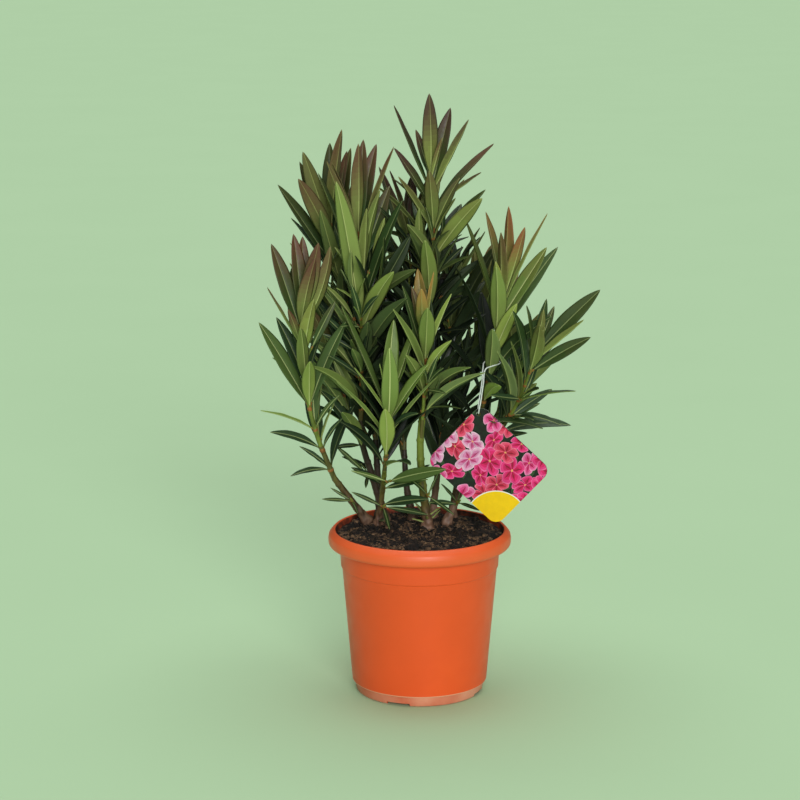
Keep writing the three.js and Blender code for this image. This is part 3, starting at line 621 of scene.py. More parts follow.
def mouth_painted_shade():
    """The inside of the mouth: painted shade under the rim, mottled from dark brown to orange."""
    shade_blotch = (50, 5)
    stops = [(0.4, (40, 22, 15)), (0.52, (110, 48, 28)), (0.66, (190, 78, 38))]
    return patterned("pot_mouth_painted_shade", (128, 56, 32), 0.6, (shade_blotch, stops), None,
                     [(shade_blotch, 0.3, 0.0006)])


def make_pot():
    build = Build()
    body = build.slot(pot_plastic("pot_body_plastic", (246, 89, 32)))
    # The rim's plastic is painted paler than the body's: a painted highlight where the rolled rim
    # catches light.
    rim = build.slot(pot_plastic("pot_rim_painted_highlight", (247, 102, 50)))
    # A pale painted highlight line where the body's lower edge meets the foot.
    ledge = build.slot(pot_plastic("pot_foot_edge_painted_highlight", (252, 182, 150)))
    mouth_shade = build.slot(mouth_painted_shade())
    foot = build.slot(foot_plastic())
    profile = rounded(outside_profile() + inside_profile()[::-1], POT_MESH.rounding)
    points, faces = turned([(0, 0), *profile, (0, POT.floor_top)], POT_MESH.sides)
    ring = POT.foot_radius - POT.ring_width - 1.5
    slots = []
    for face in faces:
        x, y, z = np.mean([points[i] for i in face], axis=0)
        radius = hypot(x, y)
        # Faces inside the mouth above the compost take the painted shade.
        if SOIL.edge - 3 < z < POT.height - 0.8 and radius < POT.mouth_radius + 0.3:
            slots.append(mouth_shade)
        # Faces at the foot take the foot plastic, and those just above it the painted highlight
        # line.
        elif radius > ring and z < POT.foot_height + 1.3:
            slots.append(foot if z < POT.foot_height - 0.9 else ledge)
        else:
            # The rim's faces take its paler plastic, the painted highlight.
            slots.append(rim if radius > ring and z > POT.lip_foot - 0.5 else body)
    build.add(points, faces, slots)
    piece = build.finish("pot_shell", "pot", "pot")
    cut_away(piece, foot_cuts())
    picked = dict(object=piece, active_object=piece, selected_editable_objects=[piece])
    with bpy.context.temp_override(**picked):
        bpy.ops.object.shade_smooth_by_angle(angle=radians(POT_MESH.sharp))


# Compost

def soil_at(radius):
    wall_radius = inner_radius(SOIL.edge) - SOIL_GAP
    share = (radius - SOIL.crown_radius) / (wall_radius - SOIL.crown_radius)
    return mix(SOIL.crown, SOIL.edge, clamp(share))


def soil_surface(x, y):
    """The height of the mound with its lumps, which are lower close to the wall."""
    radius = hypot(x, y)
    lumps = sum(noise.noise(Vector((x, y, 0)) / width) * height for width, height in COMPOST.lumps)
    calm = 1 - smooth(*COMPOST.calm, radius)
    return soil_at(radius) + (lumps - COMPOST.settled) * (0.35 + 0.65 * calm)


def soil_material():
    coarse, fine = (105, 6), (420, 4)
    stops = [(0.34, (7, 5, 4)), (0.47, (24, 16, 11)), (0.57, (58, 42, 30)), (0.7, (116, 88, 63))]
    return patterned("compost", (44, 30, 24), 0.95, (coarse, stops), None,
                     [(coarse, 0.6, 0.002), (fine, 0.5, 0.0006)])


def crumb_material(name, dark, pale):
    grain = (300, 4)
    return patterned(name, pale, 0.9, (grain, [(0.35, dark), (0.65, pale)]), None,
                     [(grain, 0.5, 0.0005)])


def add_soil_body(build, slot):
    """The mound's lumpy top in rings, with its sides and underside inside the pot."""
    edge = inner_radius(SOIL.edge) - SOIL_GAP
    low = POT.floor_top + SOIL_GAP
    kinks = [z for _, z in inside_profile() if low < z < SOIL.edge - 3]
    side = [(inner_radius(z) - SOIL_GAP, z) for z in (low, *kinks)]
    top = [(edge * (1 - i / COMPOST.rings), None) for i in range(COMPOST.rings)]
    middle = (0, soil_surface(0, 0))
    build.add(*turned([(0, low), *side, *top, middle], COMPOST.sides, soil_surface), slot)


def chunk(centre, size, turn, squash, seed):
    """A crumb of peat or bark: a rough little block of four rings."""
    around = 5
    points = []
    for level, share in ((-0.5, 0.55), (-0.15, 1), (0.3, 0.8), (0.55, 0.35)):
        rise = Vector((0, 0, size * level * (0.5 + 0.5 * squash)))
        for j in range(around):
            a = turn + 2 * pi * j / around
            rough = 0.75 + 0.5 * chance(seed, j + int(level * 20), 11)
            way = Vector((cos(a) * squash, sin(a), 0))
            points.append(centre + way * size * share * rough + rise)
    return points, ring_faces(4, around)


def add_fibre(build, start, way, length, radius, seed, slot):
    """A thin curved root hair or bark fibre."""
    side = way.cross(UP).normalized()
    sway = chance(seed, 1, 21) - 0.5
    lift = chance(seed, 2, 21)
    places = []
    radii = []
    for i in range(6):
        t = i / 5
        arch = sin(pi * t) * length
        bend = side * (arch * sway * 0.5) + UP * (arch * 0.18 * lift)
        places.append(start + way * length * t + bend)
        radii.append(radius * (1 - 0.7 * abs(2 * t - 1)))
    alongs = [direction_at(places, i) for i in range(6)]
    build.add_tube(places, alongs, radii, 4, slot)


def scatter(seed, count, reach):
    """Evenly spread places on the compost, the same on every run, and how brown each patch is."""
    for i in range(count):
        radius = reach * sqrt((i + chance(seed, i, 31)) / count)
        a = GOLDEN_ANGLE * i + chance(seed, i, 32)
        x, y = radius * cos(a), radius * sin(a)
        at = Vector((x, y, soil_surface(x, y)))
        yield i, at, noise.noise(at / COMPOST.patches)


def make_soil():
    """The mound with crumbs of peat and bark and, in its browner patches, pale fibres."""
    build = Build()
    body = build.slot(soil_material())
    peat = build.slot(crumb_material("peat_crumbs", (10, 7, 5), (48, 34, 24)))
    bark = build.slot(crumb_material("bark_crumbs", (46, 33, 23), (128, 98, 70)))
    straw = build.slot(crumb_material("fibres", (98, 74, 54), (176, 142, 114)))
    add_soil_body(build, body)
    edge = inner_radius(SOIL.edge) - SOIL_GAP
    for i, at, brown in scatter(CRUMBS, COMPOST.crumbs, edge - 3.5):
        size, grow, turn, squash, luck = (chance(CRUMBS, i, use) for use in range(33, 38))
        size = 0.8 + 3 * size ** 3 + 0.6 * grow
        slot = bark if brown + 0.5 * luck > 0.3 else peat
        build.add(*chunk(at, size, 6 * turn, 0.5 + 0.5 * squash, i), slot)
    for i, at, brown in scatter(FIBRES, COMPOST.fibres, edge - 8):
        if brown < -0.05:
            continue
        turn, length, thick = (chance(FIBRES, i, use) for use in (33, 34, 35))
        way = Vector((cos(ANY_TURN * turn), sin(ANY_TURN * turn), 0))
        length = 3 + 9 * length ** 2
        add_fibre(build, at + 0.2 * UP, way, length, 0.16 + 0.2 * thick, i, straw)
    build.finish("compost", "soil", "soil")


# Stems with bark

def stem_path(stem):
    """A stem's route with its foot set on the soil and its corners eased."""
    points = vectors(stem["route"])
    reach = hypot(points[0].x, points[0].y) - 2 * stem["radius"][0]
    points[0].z = soil_at(reach) + GAP
    return softened(points)


# The bark's colours from the soil up: green young wood, older brown wood and dark wood inside.
BARKS = dict(
    green=[(132, 98, 78), (108, 84, 52), (108, 100, 42), (122, 134, 42), (126, 142, 48)],
    olive=[(130, 100, 80), (104, 82, 54), (98, 82, 42), (110, 110, 40), (122, 132, 46)],
    brown=[(146, 112, 92), (118, 92, 66), (100, 82, 50), (100, 92, 48), (104, 106, 48)],
    dark=[(104, 78, 62), (74, 55, 40), (56, 42, 28), (60, 52, 30), (76, 76, 38)])
BARK_HEIGHTS = dict(green=(0.2, 0.285), olive=(0.2, 0.3), brown=(0.21, 0.33), dark=(0.21, 0.36))
STEM_BARKS = dict(top="green", left="olive", front="green", mid_left="dark", rear_left="dark",
                  rear="dark", rear_right="brown", right="brown", far_right="brown")


def bark_material(kind):
    """Smooth young bark: pinkish and scaly at the soil, then brown or green above."""
    surface = Surface(f"bark_{kind}", BARKS[kind][2], Roughness=0.6)
    height = surface.add("SeparateXYZ", {"Vector": surface.place.outputs["Object"]}).outputs["Z"]
    ripple = surface.noise(45, 4, (1, 1, 0.35))
    low, high = BARK_HEIGHTS[kind]
    shifted = surface.calc("MULTIPLY_ADD", ripple, 0.04, height)
    share = surface.spread(shifted, 0.0, 1.0, low + 0.02, high + 0.02)
    streak = surface.noise(160, 4, (1, 1, 0.12))
    greys = [(0.3, (150, 140, 130)), (0.5, (235, 232, 228)), (0.7, (255, 255, 255))]
    shades = surface.ramp(streak, greys)
    streaked = surface.add("Mix", data_type="RGBA", blend_type="MULTIPLY")
    streaked.inputs[0].default_value = 1.0
    colours = surface.ramp(share, list(zip((0, 0.12, 0.35, 0.7, 1), BARKS[kind])))
    surface.tree.links.new(colours, streaked.inputs[6])
    surface.tree.links.new(shades, streaked.inputs[7])
    surface.drive("Base Color", streaked.outputs[2])
    surface.drive("Roughness", surface.spread(ripple, 0.5, 0.72))
    surface.bump(streak, 0.5, 0.0006)
    return surface.made


def make_stem(name, stem, index, bark):
    """A stem with a knobby foot, leaf scars in rings, cork spots and fine ridges."""
    marks, places, alongs = even_path(stem_path(stem), BARK.step, BARK.sunk)
    whole = marks[-1]
    scars = [whole - BARK.first_scar - BARK.scar_gap * k * (0.9 + 0.2 * chance(index, k, 41))
             for k in range(BARK.scars)]
    scars = [scar for scar in scars if scar > BARK.last_scar]

    def radius_at(mark):
        flare = 0.5 * (1 - smooth(0, 12, mark)) + 0.14 * (1 - smooth(8, 30, mark))
        knots = sum(0.1 * exp(-(((mark - scar) / 1.7) ** 2)) for scar in scars)
        return mix(*stem["radius"], mark / whole) * (0.97 + flare + knots)

    def relief(i, j):
        a = 2 * pi * j / BARK.sides
        mark = marks[i]

        def grain(fine, tall, seed):
            return noise.noise(Vector((cos(a) * fine, sin(a) * fine, mark * tall + index * seed)))

        scar = 0
        for k, height in enumerate(scars):
            for turn in range(LEAF.whorl):
                spot = cos(a - radians(60 * k + 120 * turn)) > 0.75
                scar += 0.09 * exp(-(((mark - height - 1.2) / 1.1) ** 2)) * spot
        ridges = 0.05 * grain(3, 0.09, 7)
        knobs = 0.3 * (1 - smooth(15, 45, mark)) * grain(1.3, 0.16, 3)
        cork = 0.035 * max(0, grain(6, 0.8, 5) - 0.25) * 4
        return 1 + ridges + knobs + cork + scar

    radii = [radius_at(mark) for mark in marks]
    radii[0] *= 0.9
    build = Build()
    build.add_tube(places, alongs, radii, BARK.sides, build.slot(bark), relief)
    build.finish("bark_" + name, "stem", "stem_" + name)


def make_stems():
    barks = {kind: bark_material(kind) for kind in BARKS}
    for index, (name, stem) in enumerate(STEMS.items()):
        make_stem(name, stem, index, barks[STEM_BARKS[name]])


# Growth of the shoots, by the rule of the solids

def twig_path(shoot):
    """A shoot's twig: a main shoot goes on from its stem's top."""
    points = vectors(shoot["route"])
    if "on" in shoot:
        return softened(points)
    stem = stem_path(STEMS[shoot["name"]])
    start = stem[-1] + direction_at(stem, len(stem) - 1) * GAP
    return softened([start, *points])


def whorl_drops(shoot, whole):
    """Distances of the whorls below the apex: close there, a full pitch further down."""
    drops = []
    drop = 3
    step = 0.45 * shoot["pitch"]
    while not drops or drop < whole - max(4, shoot["bare"]):
        drops.append(drop)
        drop += step
        step = min(shoot["pitch"], 1.35 * step)
    return drops


def spot_on(shoot, index, path, drop, age):
    """A place on a twig where leaves may grow; its age is the drop that it looks like."""
    root, along = path_at(path, drop)
    return dict(shoot=shoot, index=index, root=root, along=along, across=across(along), drop=age,
                whole=path_length(path), held=None)


def bearing(place, k, j):
    """Which way a leaf looks from its twig, before its tip is known."""
    jitter = 34 * (chance(place["index"], LEAF.whorl * k + j, 1) - 0.5)
    return between(place["across"], radians(place["shoot"]["turn"] + 60 * k + 120 * j + jitter))


def deal_tips(place, k):
    """Of a whorl's free places, the one that looks most towards a named tip takes it."""
    held = {}
    for whorl, x, y, z, turn in place["shoot"]["tips"]:
        if whorl != k:
            continue
        tip = Vector((x, y, z))
        way = tip - place["root"]
        way -= place["along"] * way.dot(place["along"])
        free = [j for j in range(LEAF.whorl) if j not in held]
        held[max(free, key=lambda j: bearing(place, k, j).dot(way))] = (tip, turn)
    return held


def leaf_places(shoot, index, path):
    places = []
    for k, drop in enumerate(whorl_drops(shoot, path_length(path))):
        spot = spot_on(shoot, index, path, drop, drop)
        held = deal_tips(spot, k)
        places += [dict(spot, k=k, j=j, held=held.get(j)) for j in range(LEAF.whorl)]
    return places


def leaf_tries(place):
    """The ways a leaf may grow, best first, as in the solids."""
    shoot, index, k, j = place["shoot"], place["index"], place["k"], place["j"]
    root, along, drop = place["root"], place["along"], place["drop"]
    slot = LEAF.whorl * k + j
    depth = min(1, drop / max(60, 0.75 * place["whole"]))
    bow = 0.05 + 0.1 * depth + 0.05 * (chance(index, slot, 5) - 0.5)
    straight = bearing(place, k, j)
    tries = []
    for t in range(LEAF.tries):
        side = 1 if t % 2 else -1
        pace = ceil(t / 2)
        if place["held"]:
            tip, turn = place["held"]
            tip = root.lerp(tip, 1 - 0.03 * max(0, t - 4))
            tries.append(dict(tip=tip, radial=straight, bow=bow + 0.05 * side * pace,
                              turn=turn + 12 * side * pace))
            continue
        swing = radians(11 * side * pace)
        radial = between((straight, along.cross(straight)), swing)
        spread = 16 * (chance(index, slot, 2) - 0.5)
        open_angle = mix(*shoot["lean"], depth ** 0.8) + spread
        lean = radians(open_angle * (1 - 0.07 * t))
        young = 0.72 + 0.28 * min(1, drop / 30)
        old = 0.3 * max(0, (drop - 110) / 150)
        luck = 0.9 + 0.2 * chance(index, slot, 3)
        length = shoot["length"] * (young - old) * luck * (1 - 0.04 * t)
        tip = root + along * length * cos(lean) + radial * length * sin(lean)
        tries.append(dict(tip=tip, radial=radial, bow=bow,
                          turn=80 * (chance(index, slot, 4) - 0.5)))
    return tries


def leaf_frame(place, grown):
    """A leaf's middle line from 0 to 1, the directions across and up from it, and its length."""
    chord = grown["tip"] - place["root"]
    length = chord.length
    flat = chord - place["along"] * chord.dot(place["along"])
    out = flat.normalized() if flat.length > 0.12 * length else grown["radial"]
    run = chord / length
    face = run.cross(place["along"].cross(out)).normalized()
    side = face.cross(run)
    roll = radians(grown["turn"]) * (1 if side.y > 0 else -1)

    def spine(u):
        return place["root"] + run * length * u + face * 2 * grown["bow"] * length * u * (1 - u)

    return spine, between((side, face), roll), between((face, -side), roll), length


def width_at(u):
    """Share of the full width: from the stalk to the middle, then to a long point."""
    if u <= LEAF.petiole:
        return 0.07
    v = (u - LEAF.petiole) / (1 - LEAF.petiole)
    middle = (LEAF.widest - LEAF.petiole) / (1 - LEAF.petiole)
    if v < middle:
        return sin(pi / 2 * (v / middle) ** 0.9)
    return sin(pi / 2 * ((1 - v) / (1 - middle)) ** 0.75)


def leaf_width(length):
    spare = max(0, length - LEAF.full_length)
    return LEAF.width_per_length * (length - spare) + LEAF.extra_width * spare


def node_points(name):
    """A CAD node's corners in a search tree, in millimetres."""
    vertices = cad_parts[name].data.vertices
    tree = KDTree(len(vertices))
    for vertex in vertices:
        tree.insert(vertex.co / MM, vertex.index)
    tree.balance()
    return tree


def was_grown(place, grown, tree):
    """Whether the solid holds this very leaf: its tip and both edges at half its length."""
    spine, wide, _, length = leaf_frame(place, grown)
    reach = wide * leaf_width(length) / 2 * width_at(0.5)
    spots = (grown["tip"], spine(0.5) + reach, spine(0.5) - reach)
    return all(tree.find(spot)[2] < 0.06 for spot in spots)


# Leaves as fine meshes

# The rings of a leaf's points from its stalk to its tip, the points across each side with the two
# columns of faces that are the midrib, and how much broader a short and a long leaf are than in
# the solids.
STATIONS = [0, 0.03, 0.055, 0.075, 0.1, 0.135, 0.18, 0.23, 0.285, 0.34, 0.4, 0.46, 0.52, 0.58, 0.64,
            0.7, 0.755, 0.81, 0.86, 0.905, 0.945, 0.975]
ACROSS = [-1, -0.82, -0.5, -0.22, 0, 0.22, 0.5, 0.82, 1]
AROUND = 2 * len(ACROSS) - 2
RIB = (3, 4)
BROADER = (0.95, 1.2)


def leaf_template():
    """The faces of a leaf and, for each, its kind, whether it is on top and its flush's reach."""
    ends = [[i * AROUND + j for j in range(AROUND)] for i in range(len(STATIONS))]
    ends.append([len(STATIONS) * AROUND])
    faces = []
    kinds = []
    for i, u in enumerate(STATIONS):
        here, there = ends[i], ends[i + 1]
        for j in range(AROUND):
            k = (j + 1) % AROUND
            far = [there[j], there[k]] if len(there) > 1 else there
            faces.append((here[k], here[j], *far))
            top = j < len(ACROSS) - 1
            column = j if top else AROUND - 1 - j
            kind = "rib" if column in RIB else "upper" if top else "under"
            edge = abs(column - 3.5) / 3.5
            reach = smooth(0.25, 0.95, u + 0.12 * edge - 0.04)
            kinds.append(("stalk" if u < LEAF.petiole else kind, top, reach))
    faces.append(tuple(range(AROUND)))
    return faces, kinds + [("stalk", True, 0)]


LEAF_FACES, LEAF_KINDS = leaf_template()


def leaf_points(place, grown, seed):
    """A leaf's surface: folded along the midrib, thin at the margins, a little wavy."""
    spine, wide, up, length = leaf_frame(place, grown)
    slim = 0.78 if place["shoot"]["name"].startswith("sprig") else 1
    half = slim * leaf_width(length) / 2 * mix(*BROADER, smooth(50, 90, length))
    fold = 0.2 + 0.12 * chance(seed, 1, 51)
    sway = 0.25 * (chance(seed, 2, 51) - 0.5)
    wave = 0.5 + 0.5 * chance(seed, 3, 51)
    phase = ANY_TURN * chance(seed, 4, 51)
    points = []
    uvs = []
    for u in STATIONS:
        share = width_at(u)
        stalk = 1 - smooth(LEAF.petiole, 0.16, u)
        edge = max(half * share, 0.9 * stalk + 0.1)
        rib = min(0.42 * edge, mix(0.75, 0.3, u))
        thick = mix(0.5, 0.35, u) + 1.1 * stalk
        keel = mix(1.0, 0.35, u) * (1 - stalk)
        middle = spine(u) + wide * sway * half * sin(pi * u)
        for top in (True, False):
            row = ACROSS if top else ACROSS[-2:0:-1]
            for x in row:
                near = abs(x)
                off = copysign(mix(rib, edge, (near - 0.22) / 0.78), x) if near >= 0.22 else 0
                rise = fold * (abs(off) - edge) * (1 - 0.25 * abs(off) / edge)
                ripple = 0.35 * wave * near ** 2 * sin(19 * u + phase + (1.6 if x > 0 else 0))
                height = rise + ripple * share
                if top and near < 0.22:
                    height -= 0.25 * (1 - stalk)
                if not top:
                    height -= thick * (1 - 0.35 * near) + (keel if near < 0.22 else 0)
                points.append(middle + wide * off + up * height)
                uvs.append((length * u * MM, abs(off) * MM))
    points.append(grown["tip"])
    uvs.append((length * MM, 0))
    return np.array(points), np.array(uvs)


# Leaf tints: each blade takes one plain tone a side, and a flush that deepens towards its tip.
TONES = dict(
    upper=[(58, 76, 34), (46, 66, 30), (38, 60, 30), (33, 55, 35), (40, 62, 44)],
    under=[(118, 126, 64), (116, 126, 66), (106, 120, 62), (98, 115, 66), (112, 128, 84)])
RIBS = dict(upper=(124, 138, 86), under=(168, 178, 104))
FRESH = dict(upper=(124, 146, 72), under=(176, 194, 94), rib=(212, 220, 150))
# Painted shade: the dark tones that older leaves deep in the crown take, standing in for its
# shadow.
PAINTED_SHADE = dict(upper=(15, 26, 13), under=(38, 52, 28), rib=(52, 62, 34))
STALK = (150, 106, 54)
HUES = dict(brown=(104, 70, 52), dusky=(80, 54, 48), olive=(92, 84, 48), rust=(150, 94, 60),
            gold=(186, 138, 74))

# How many tints the flush and the crown's painted shade are told apart in, so leaves share
# materials.
FLUSH_STEPS = 9
PAINTED_SHADE_STEPS = 3

# For each shoot the hue of its young leaves, how strongly they flush, how far down the twig the
# flush reaches, and how fresh its green is.
LOOKS = dict(
    top=("dusky", 1, 115, 0.1), rear_left=("olive", 0.9, 100, 0), mid_left=("brown", 0.85, 70, 0.2),
    left=("brown", 1, 85, 0.15), front=("brown", 0, 60, 0.15), centre=("gold", 0.95, 32, 0.3),
    right=("rust", 0.95, 42, 0.4), far_right=("olive", 0.3, 60, 0.15), rear=("dusky", 0.9, 110, 0),
    rear_right=("olive", 0.7, 90, 0.1), back_left=("brown", 0.6, 90, 0),
    back=("dusky", 0.8, 100, 0.1), back_right=("rust", 0.6, 60, 0.2),
    side_right=("olive", 0.4, 80, 0), side_left=("brown", 0.7, 90, 0.1),
    sprout=("brown", 0, 60, 0.9))

# Named leaves that are fresher than their shoot, by shoot and whorl.
FRESH_LEAVES = dict(
    front={0: 0.85, 1: 0.55, 2: 1, 3: 0.4, 4: 0.85}, mid_left={5: 0.45},
    left={3: 0.6, 5: 0.5, 6: 0.5}, right={2: 0.9, 4: 0.9, 6: 0.85}, centre={2: 0.65, 3: 0.65},
    top={4: 0.3, 6: 0.4}, sprig_front={0: 0.45})

# Side veins: how far they slant towards the tip, the distance between them in metres, and how
# strongly they show on each side.
VEIN_SLANT = 0.45
VEIN_GAP = 2 * pi / 3600
VEIN_RELIEF = dict(upper=0.15, under=0.25)

leaf_looks = {}


def leaf_material(kind, colour):
    """One tint of one side of the leaves, with fine side veins in its relief."""
    key = (kind, colour)
    if key in leaf_looks:
        return leaf_looks[key]
    gloss = dict(upper=0.44, under=0.62, rib=0.5, stalk=0.5)[kind]
    surface = Surface(f"leaf_{kind}_{len(leaf_looks)}", colour,
                      **{"Roughness": gloss, "Specular IOR Level": 0.32})
    if kind in VEIN_RELIEF:
        where = surface.add("UVMap", uv_map="place").outputs["UV"]
        parts = surface.add("SeparateXYZ", {"Vector": where}).outputs
        slant = surface.calc("MULTIPLY_ADD", parts["Y"], -VEIN_SLANT, parts["X"])
        wave = surface.calc("SINE", surface.calc("MULTIPLY", slant, 2 * pi / VEIN_GAP))
        surface.bump(wave, VEIN_RELIEF[kind], 0.00012)
    mottle = surface.noise(240, 4)
    surface.bump(mottle, 0.2, 0.0003)
    surface.drive("Roughness", surface.spread(mottle, gloss - 0.06, gloss + 0.1))
    leaf_looks[key] = surface.made
    return surface.made


def toned(a, b, t):
    """A plain tint between two, in whole steps so that leaves share their materials."""
    return tuple(round(mix(x, y, t)) for x, y in zip(a, b))


def painted_shade_on(place, grown):
    """How much painted shade an older leaf takes deep in the crown: 0 at its outside, 1 in its
    middle.
    """
    if place["held"]:
        return 0
    x, y, z = place["root"].lerp(grown["tip"], 0.6)
    across_share = sum(((value - middle) / reach) ** 2 for value, middle, reach
                       in zip((x, y), CROWN.centre, CROWN.reach))
    deep = (1 - smooth(0.1, 0.36, across_share)) * smooth(225, 290, z) * (1 - smooth(470, 580, z))
    return round(deep * smooth(25, 80, place["drop"]) * (PAINTED_SHADE_STEPS - 1)) / (PAINTED_SHADE_STEPS - 1)


def leaf_tints(place, grown, seed):
    """A leaf's plain tints by kind and side, how far its flush goes, and the flush's hue."""
    name = place["shoot"]["name"]
    hue, strength, reach, fresh = LOOKS.get(name, ("brown", 0, 60, 0))
    age = clamp(place["drop"] / max(70, 0.8 * place["whole"]))
    tone = min(len(TONES["upper"]) - 1, int(age * 3 + chance(seed, 5, 51) * 2))
    share = fresh * (0.6 + 0.8 * chance(seed, 8, 51))
    young = 1 - smooth(0.15 * reach, reach, place["drop"])
    flush = strength * young * (0.6 + 0.6 * chance(seed, 6, 51))
    if place["held"] or name == "front":
        share = FRESH_LEAVES.get(name, {}).get(place.get("k"), share)
    share = round(6 * clamp(share)) / 6
    # The shade is painted shade: it darkens the tints of older leaves deep inside the crown.
    shade = painted_shade_on(place, grown)
    tints = {}
    for side, tones in TONES.items():
        for kind, base in ((side, tones[tone]), ("rib", RIBS[side])):
            tints[kind, side] = toned(toned(base, FRESH[kind], share), PAINTED_SHADE[kind], shade)
    if chance(seed, 7, 51) < 0.3:
        hue = "brown"
    return tints, clamp(flush), HUES[hue]


def add_leaf(build, place, grown, seed):
    points, uvs = leaf_points(place, grown, seed)
    tints, flush, bronze = leaf_tints(place, grown, seed)
    slots = []
    for kind, top, reach in LEAF_KINDS:
        colour = STALK
        if kind != "stalk":
            step = round(flush * reach * (FLUSH_STEPS - 1)) / (FLUSH_STEPS - 1)
            base = tints[kind, "upper" if top else "under"]
            colour = toned(base, bronze, 0.6 * step if kind == "rib" else step)
        slots.append(build.slot(leaf_material(kind, colour)))
    build.add(points, LEAF_FACES, slots, uvs)


# Twigs

# The twigs' meshes, and how far beyond the tip the rings of its bud lie, each with its share of
# the tip's radius.
TWIG = Sizes(sides=14, step=1.6, sunk=1.2, bud=[(3, 0.85), (5.5, 0.5), (7, 0.12)])
SIDE_TWIG = Sizes(sides=8, step=2.5, radius=(1.15, 0.8), bud=[(2, 0.8), (4, 0.15)])
TWIG_COLOURS = dict(old=(92, 88, 40), green=(112, 128, 48), young=(146, 148, 66),
                    node=(150, 98, 48))


def twig_material(kind, colour):
    streak = (200, 4, (1, 1, 0.2))
    pale = [min(255, round(c * 1.14)) for c in colour]
    dark = [round(c * 0.82) for c in colour]
    stops = [(0.35, dark), (0.5, colour), (0.65, pale)]
    return patterned("twig_" + kind, colour, 0.5, (streak, stops), (streak, 0.42, 0.6),
                     [(streak, 0.3, 0.0003)])


def add_bud(places, alongs, radii, tip, radius, steps):
    """Goes on past a twig's tip with a bud that tapers to a point."""
    for step, share in steps:
        places.append(tip + alongs[-1] * step)
        alongs.append(alongs[-1])
        radii.append(radius * share)


def add_twig(build, shoot, path, drops, looks):
    """A smooth tapering twig with a swollen, redder node under each whorl and a bud."""
    marks, places, alongs = even_path(path, TWIG.step, TWIG.sunk)
    whole = marks[-1]
    low, high = shoot["radius"]
    if "on" not in shoot:
        low = STEMS[shoot["name"]]["radius"][1]
    nodes = [whole - drop for drop in drops]
    radii = []
    for mark in marks:
        swell = sum(0.2 * exp(-(((mark - node) / 1.9) ** 2)) for node in nodes)
        radii.append(mix(low, high, mark / whole) * (0.94 + swell))
    add_bud(places, alongs, radii, path[-1], high, TWIG.bud)
    slots = twig_slots(build, len(places), marks, nodes, looks)
    build.add_tube(places, alongs, radii, TWIG.sides, slots)


def add_side_twig(build, path, looks):
    """The thin twig of a side spray, with a bud at its end."""
    marks, places, alongs = even_path(path, SIDE_TWIG.step)
    radii = [mix(*SIDE_TWIG.radius, mark / marks[-1]) for mark in marks]
    add_bud(places, alongs, radii, path[-1], SIDE_TWIG.radius[1], SIDE_TWIG.bud)
    build.add_tube(places, alongs, radii, SIDE_TWIG.sides, build.slot(looks["green"]))


def twig_slots(build, rings, marks, nodes, looks):
    """Old wood at the foot, green above, and a node's band where a whorl stands."""
    slots = [build.slot(looks["old"])]
    for i in range(rings - 1):
        mark = marks[min(len(marks) - 1, i)]
        height = mark / marks[-1]
        kind = "old" if height < 0.22 else "young" if height > 0.8 else "green"
        if any(-2.4 < mark - node < 1.2 for node in nodes):
            kind = "node"
        slots += [build.slot(looks[kind])] * TWIG.sides
    return slots + [build.slot(looks["young"])]


# Leaves beyond those of the solids: small ones at the apex and in the axils

def sheet_tree(place, grown):
    """A leaf as a thin strip in a search tree, for finding where leaves would cross."""
    spine, wide, _, length = leaf_frame(place, grown)
    points = []
    for u in (0.1, 0.3, 0.5, 0.7, 0.87, 1):
        reach = wide * leaf_width(length) / 2 * width_at(u)
        points += [spine(u) + reach, spine(u) - reach]
    faces = [(2 * i, 2 * i + 1, 2 * i + 3, 2 * i + 2) for i in range(5)]
    low, high = ([end(values) for values in zip(*points)] for end in (min, max))
    return BVHTree.FromPolygons(points, faces), low, high


def crosses(strip, others):
    tree, low, high = strip
    for other, other_low, other_high in others:
        apart = any(low[i] > other_high[i] or other_low[i] > high[i] for i in range(3))
        if not apart and tree.overlap(other):
            return True
    return False


def inside_crown(p, share=1):
    parts = [((p[i] - CROWN.centre[i]) / CROWN.reach[i]) ** 2 for i in range(3)]
    return sum(parts) <= share


def small_tries(place, angle, length, lean, bow=0.06):
    """A small leaf that looks in one direction, turning and shortening at each try."""
    tries = []
    for t in range(6):
        swing = 17 * ceil(t / 2) * (1 if t % 2 else -1)
        radial = between(place["across"], radians(angle + swing))
        tilt = radians(lean * (1 - 0.1 * t))
        size = length * (1 - 0.07 * t)
        tip = place["root"] + place["along"] * size * cos(tilt) + radial * size * sin(tilt)
        tries.append(dict(tip=tip, radial=radial, bow=bow, turn=30 * sin(angle + t)))
    return tries


def bud_leaves(shoot, index, path):
    """The small leaves that unfold round the bud."""
    spot = spot_on(shoot, index, path, 0.5, 0)
    sizes = [shoot["length"] * (0.34 + 0.16 * chance(index, j, 61)) for j in range(3)]
    turns = [shoot["turn"] + 60 + 120 * j for j in range(3)]
    return [(spot, small_tries(spot, turn, size, 9)) for turn, size in zip(turns, sizes)]


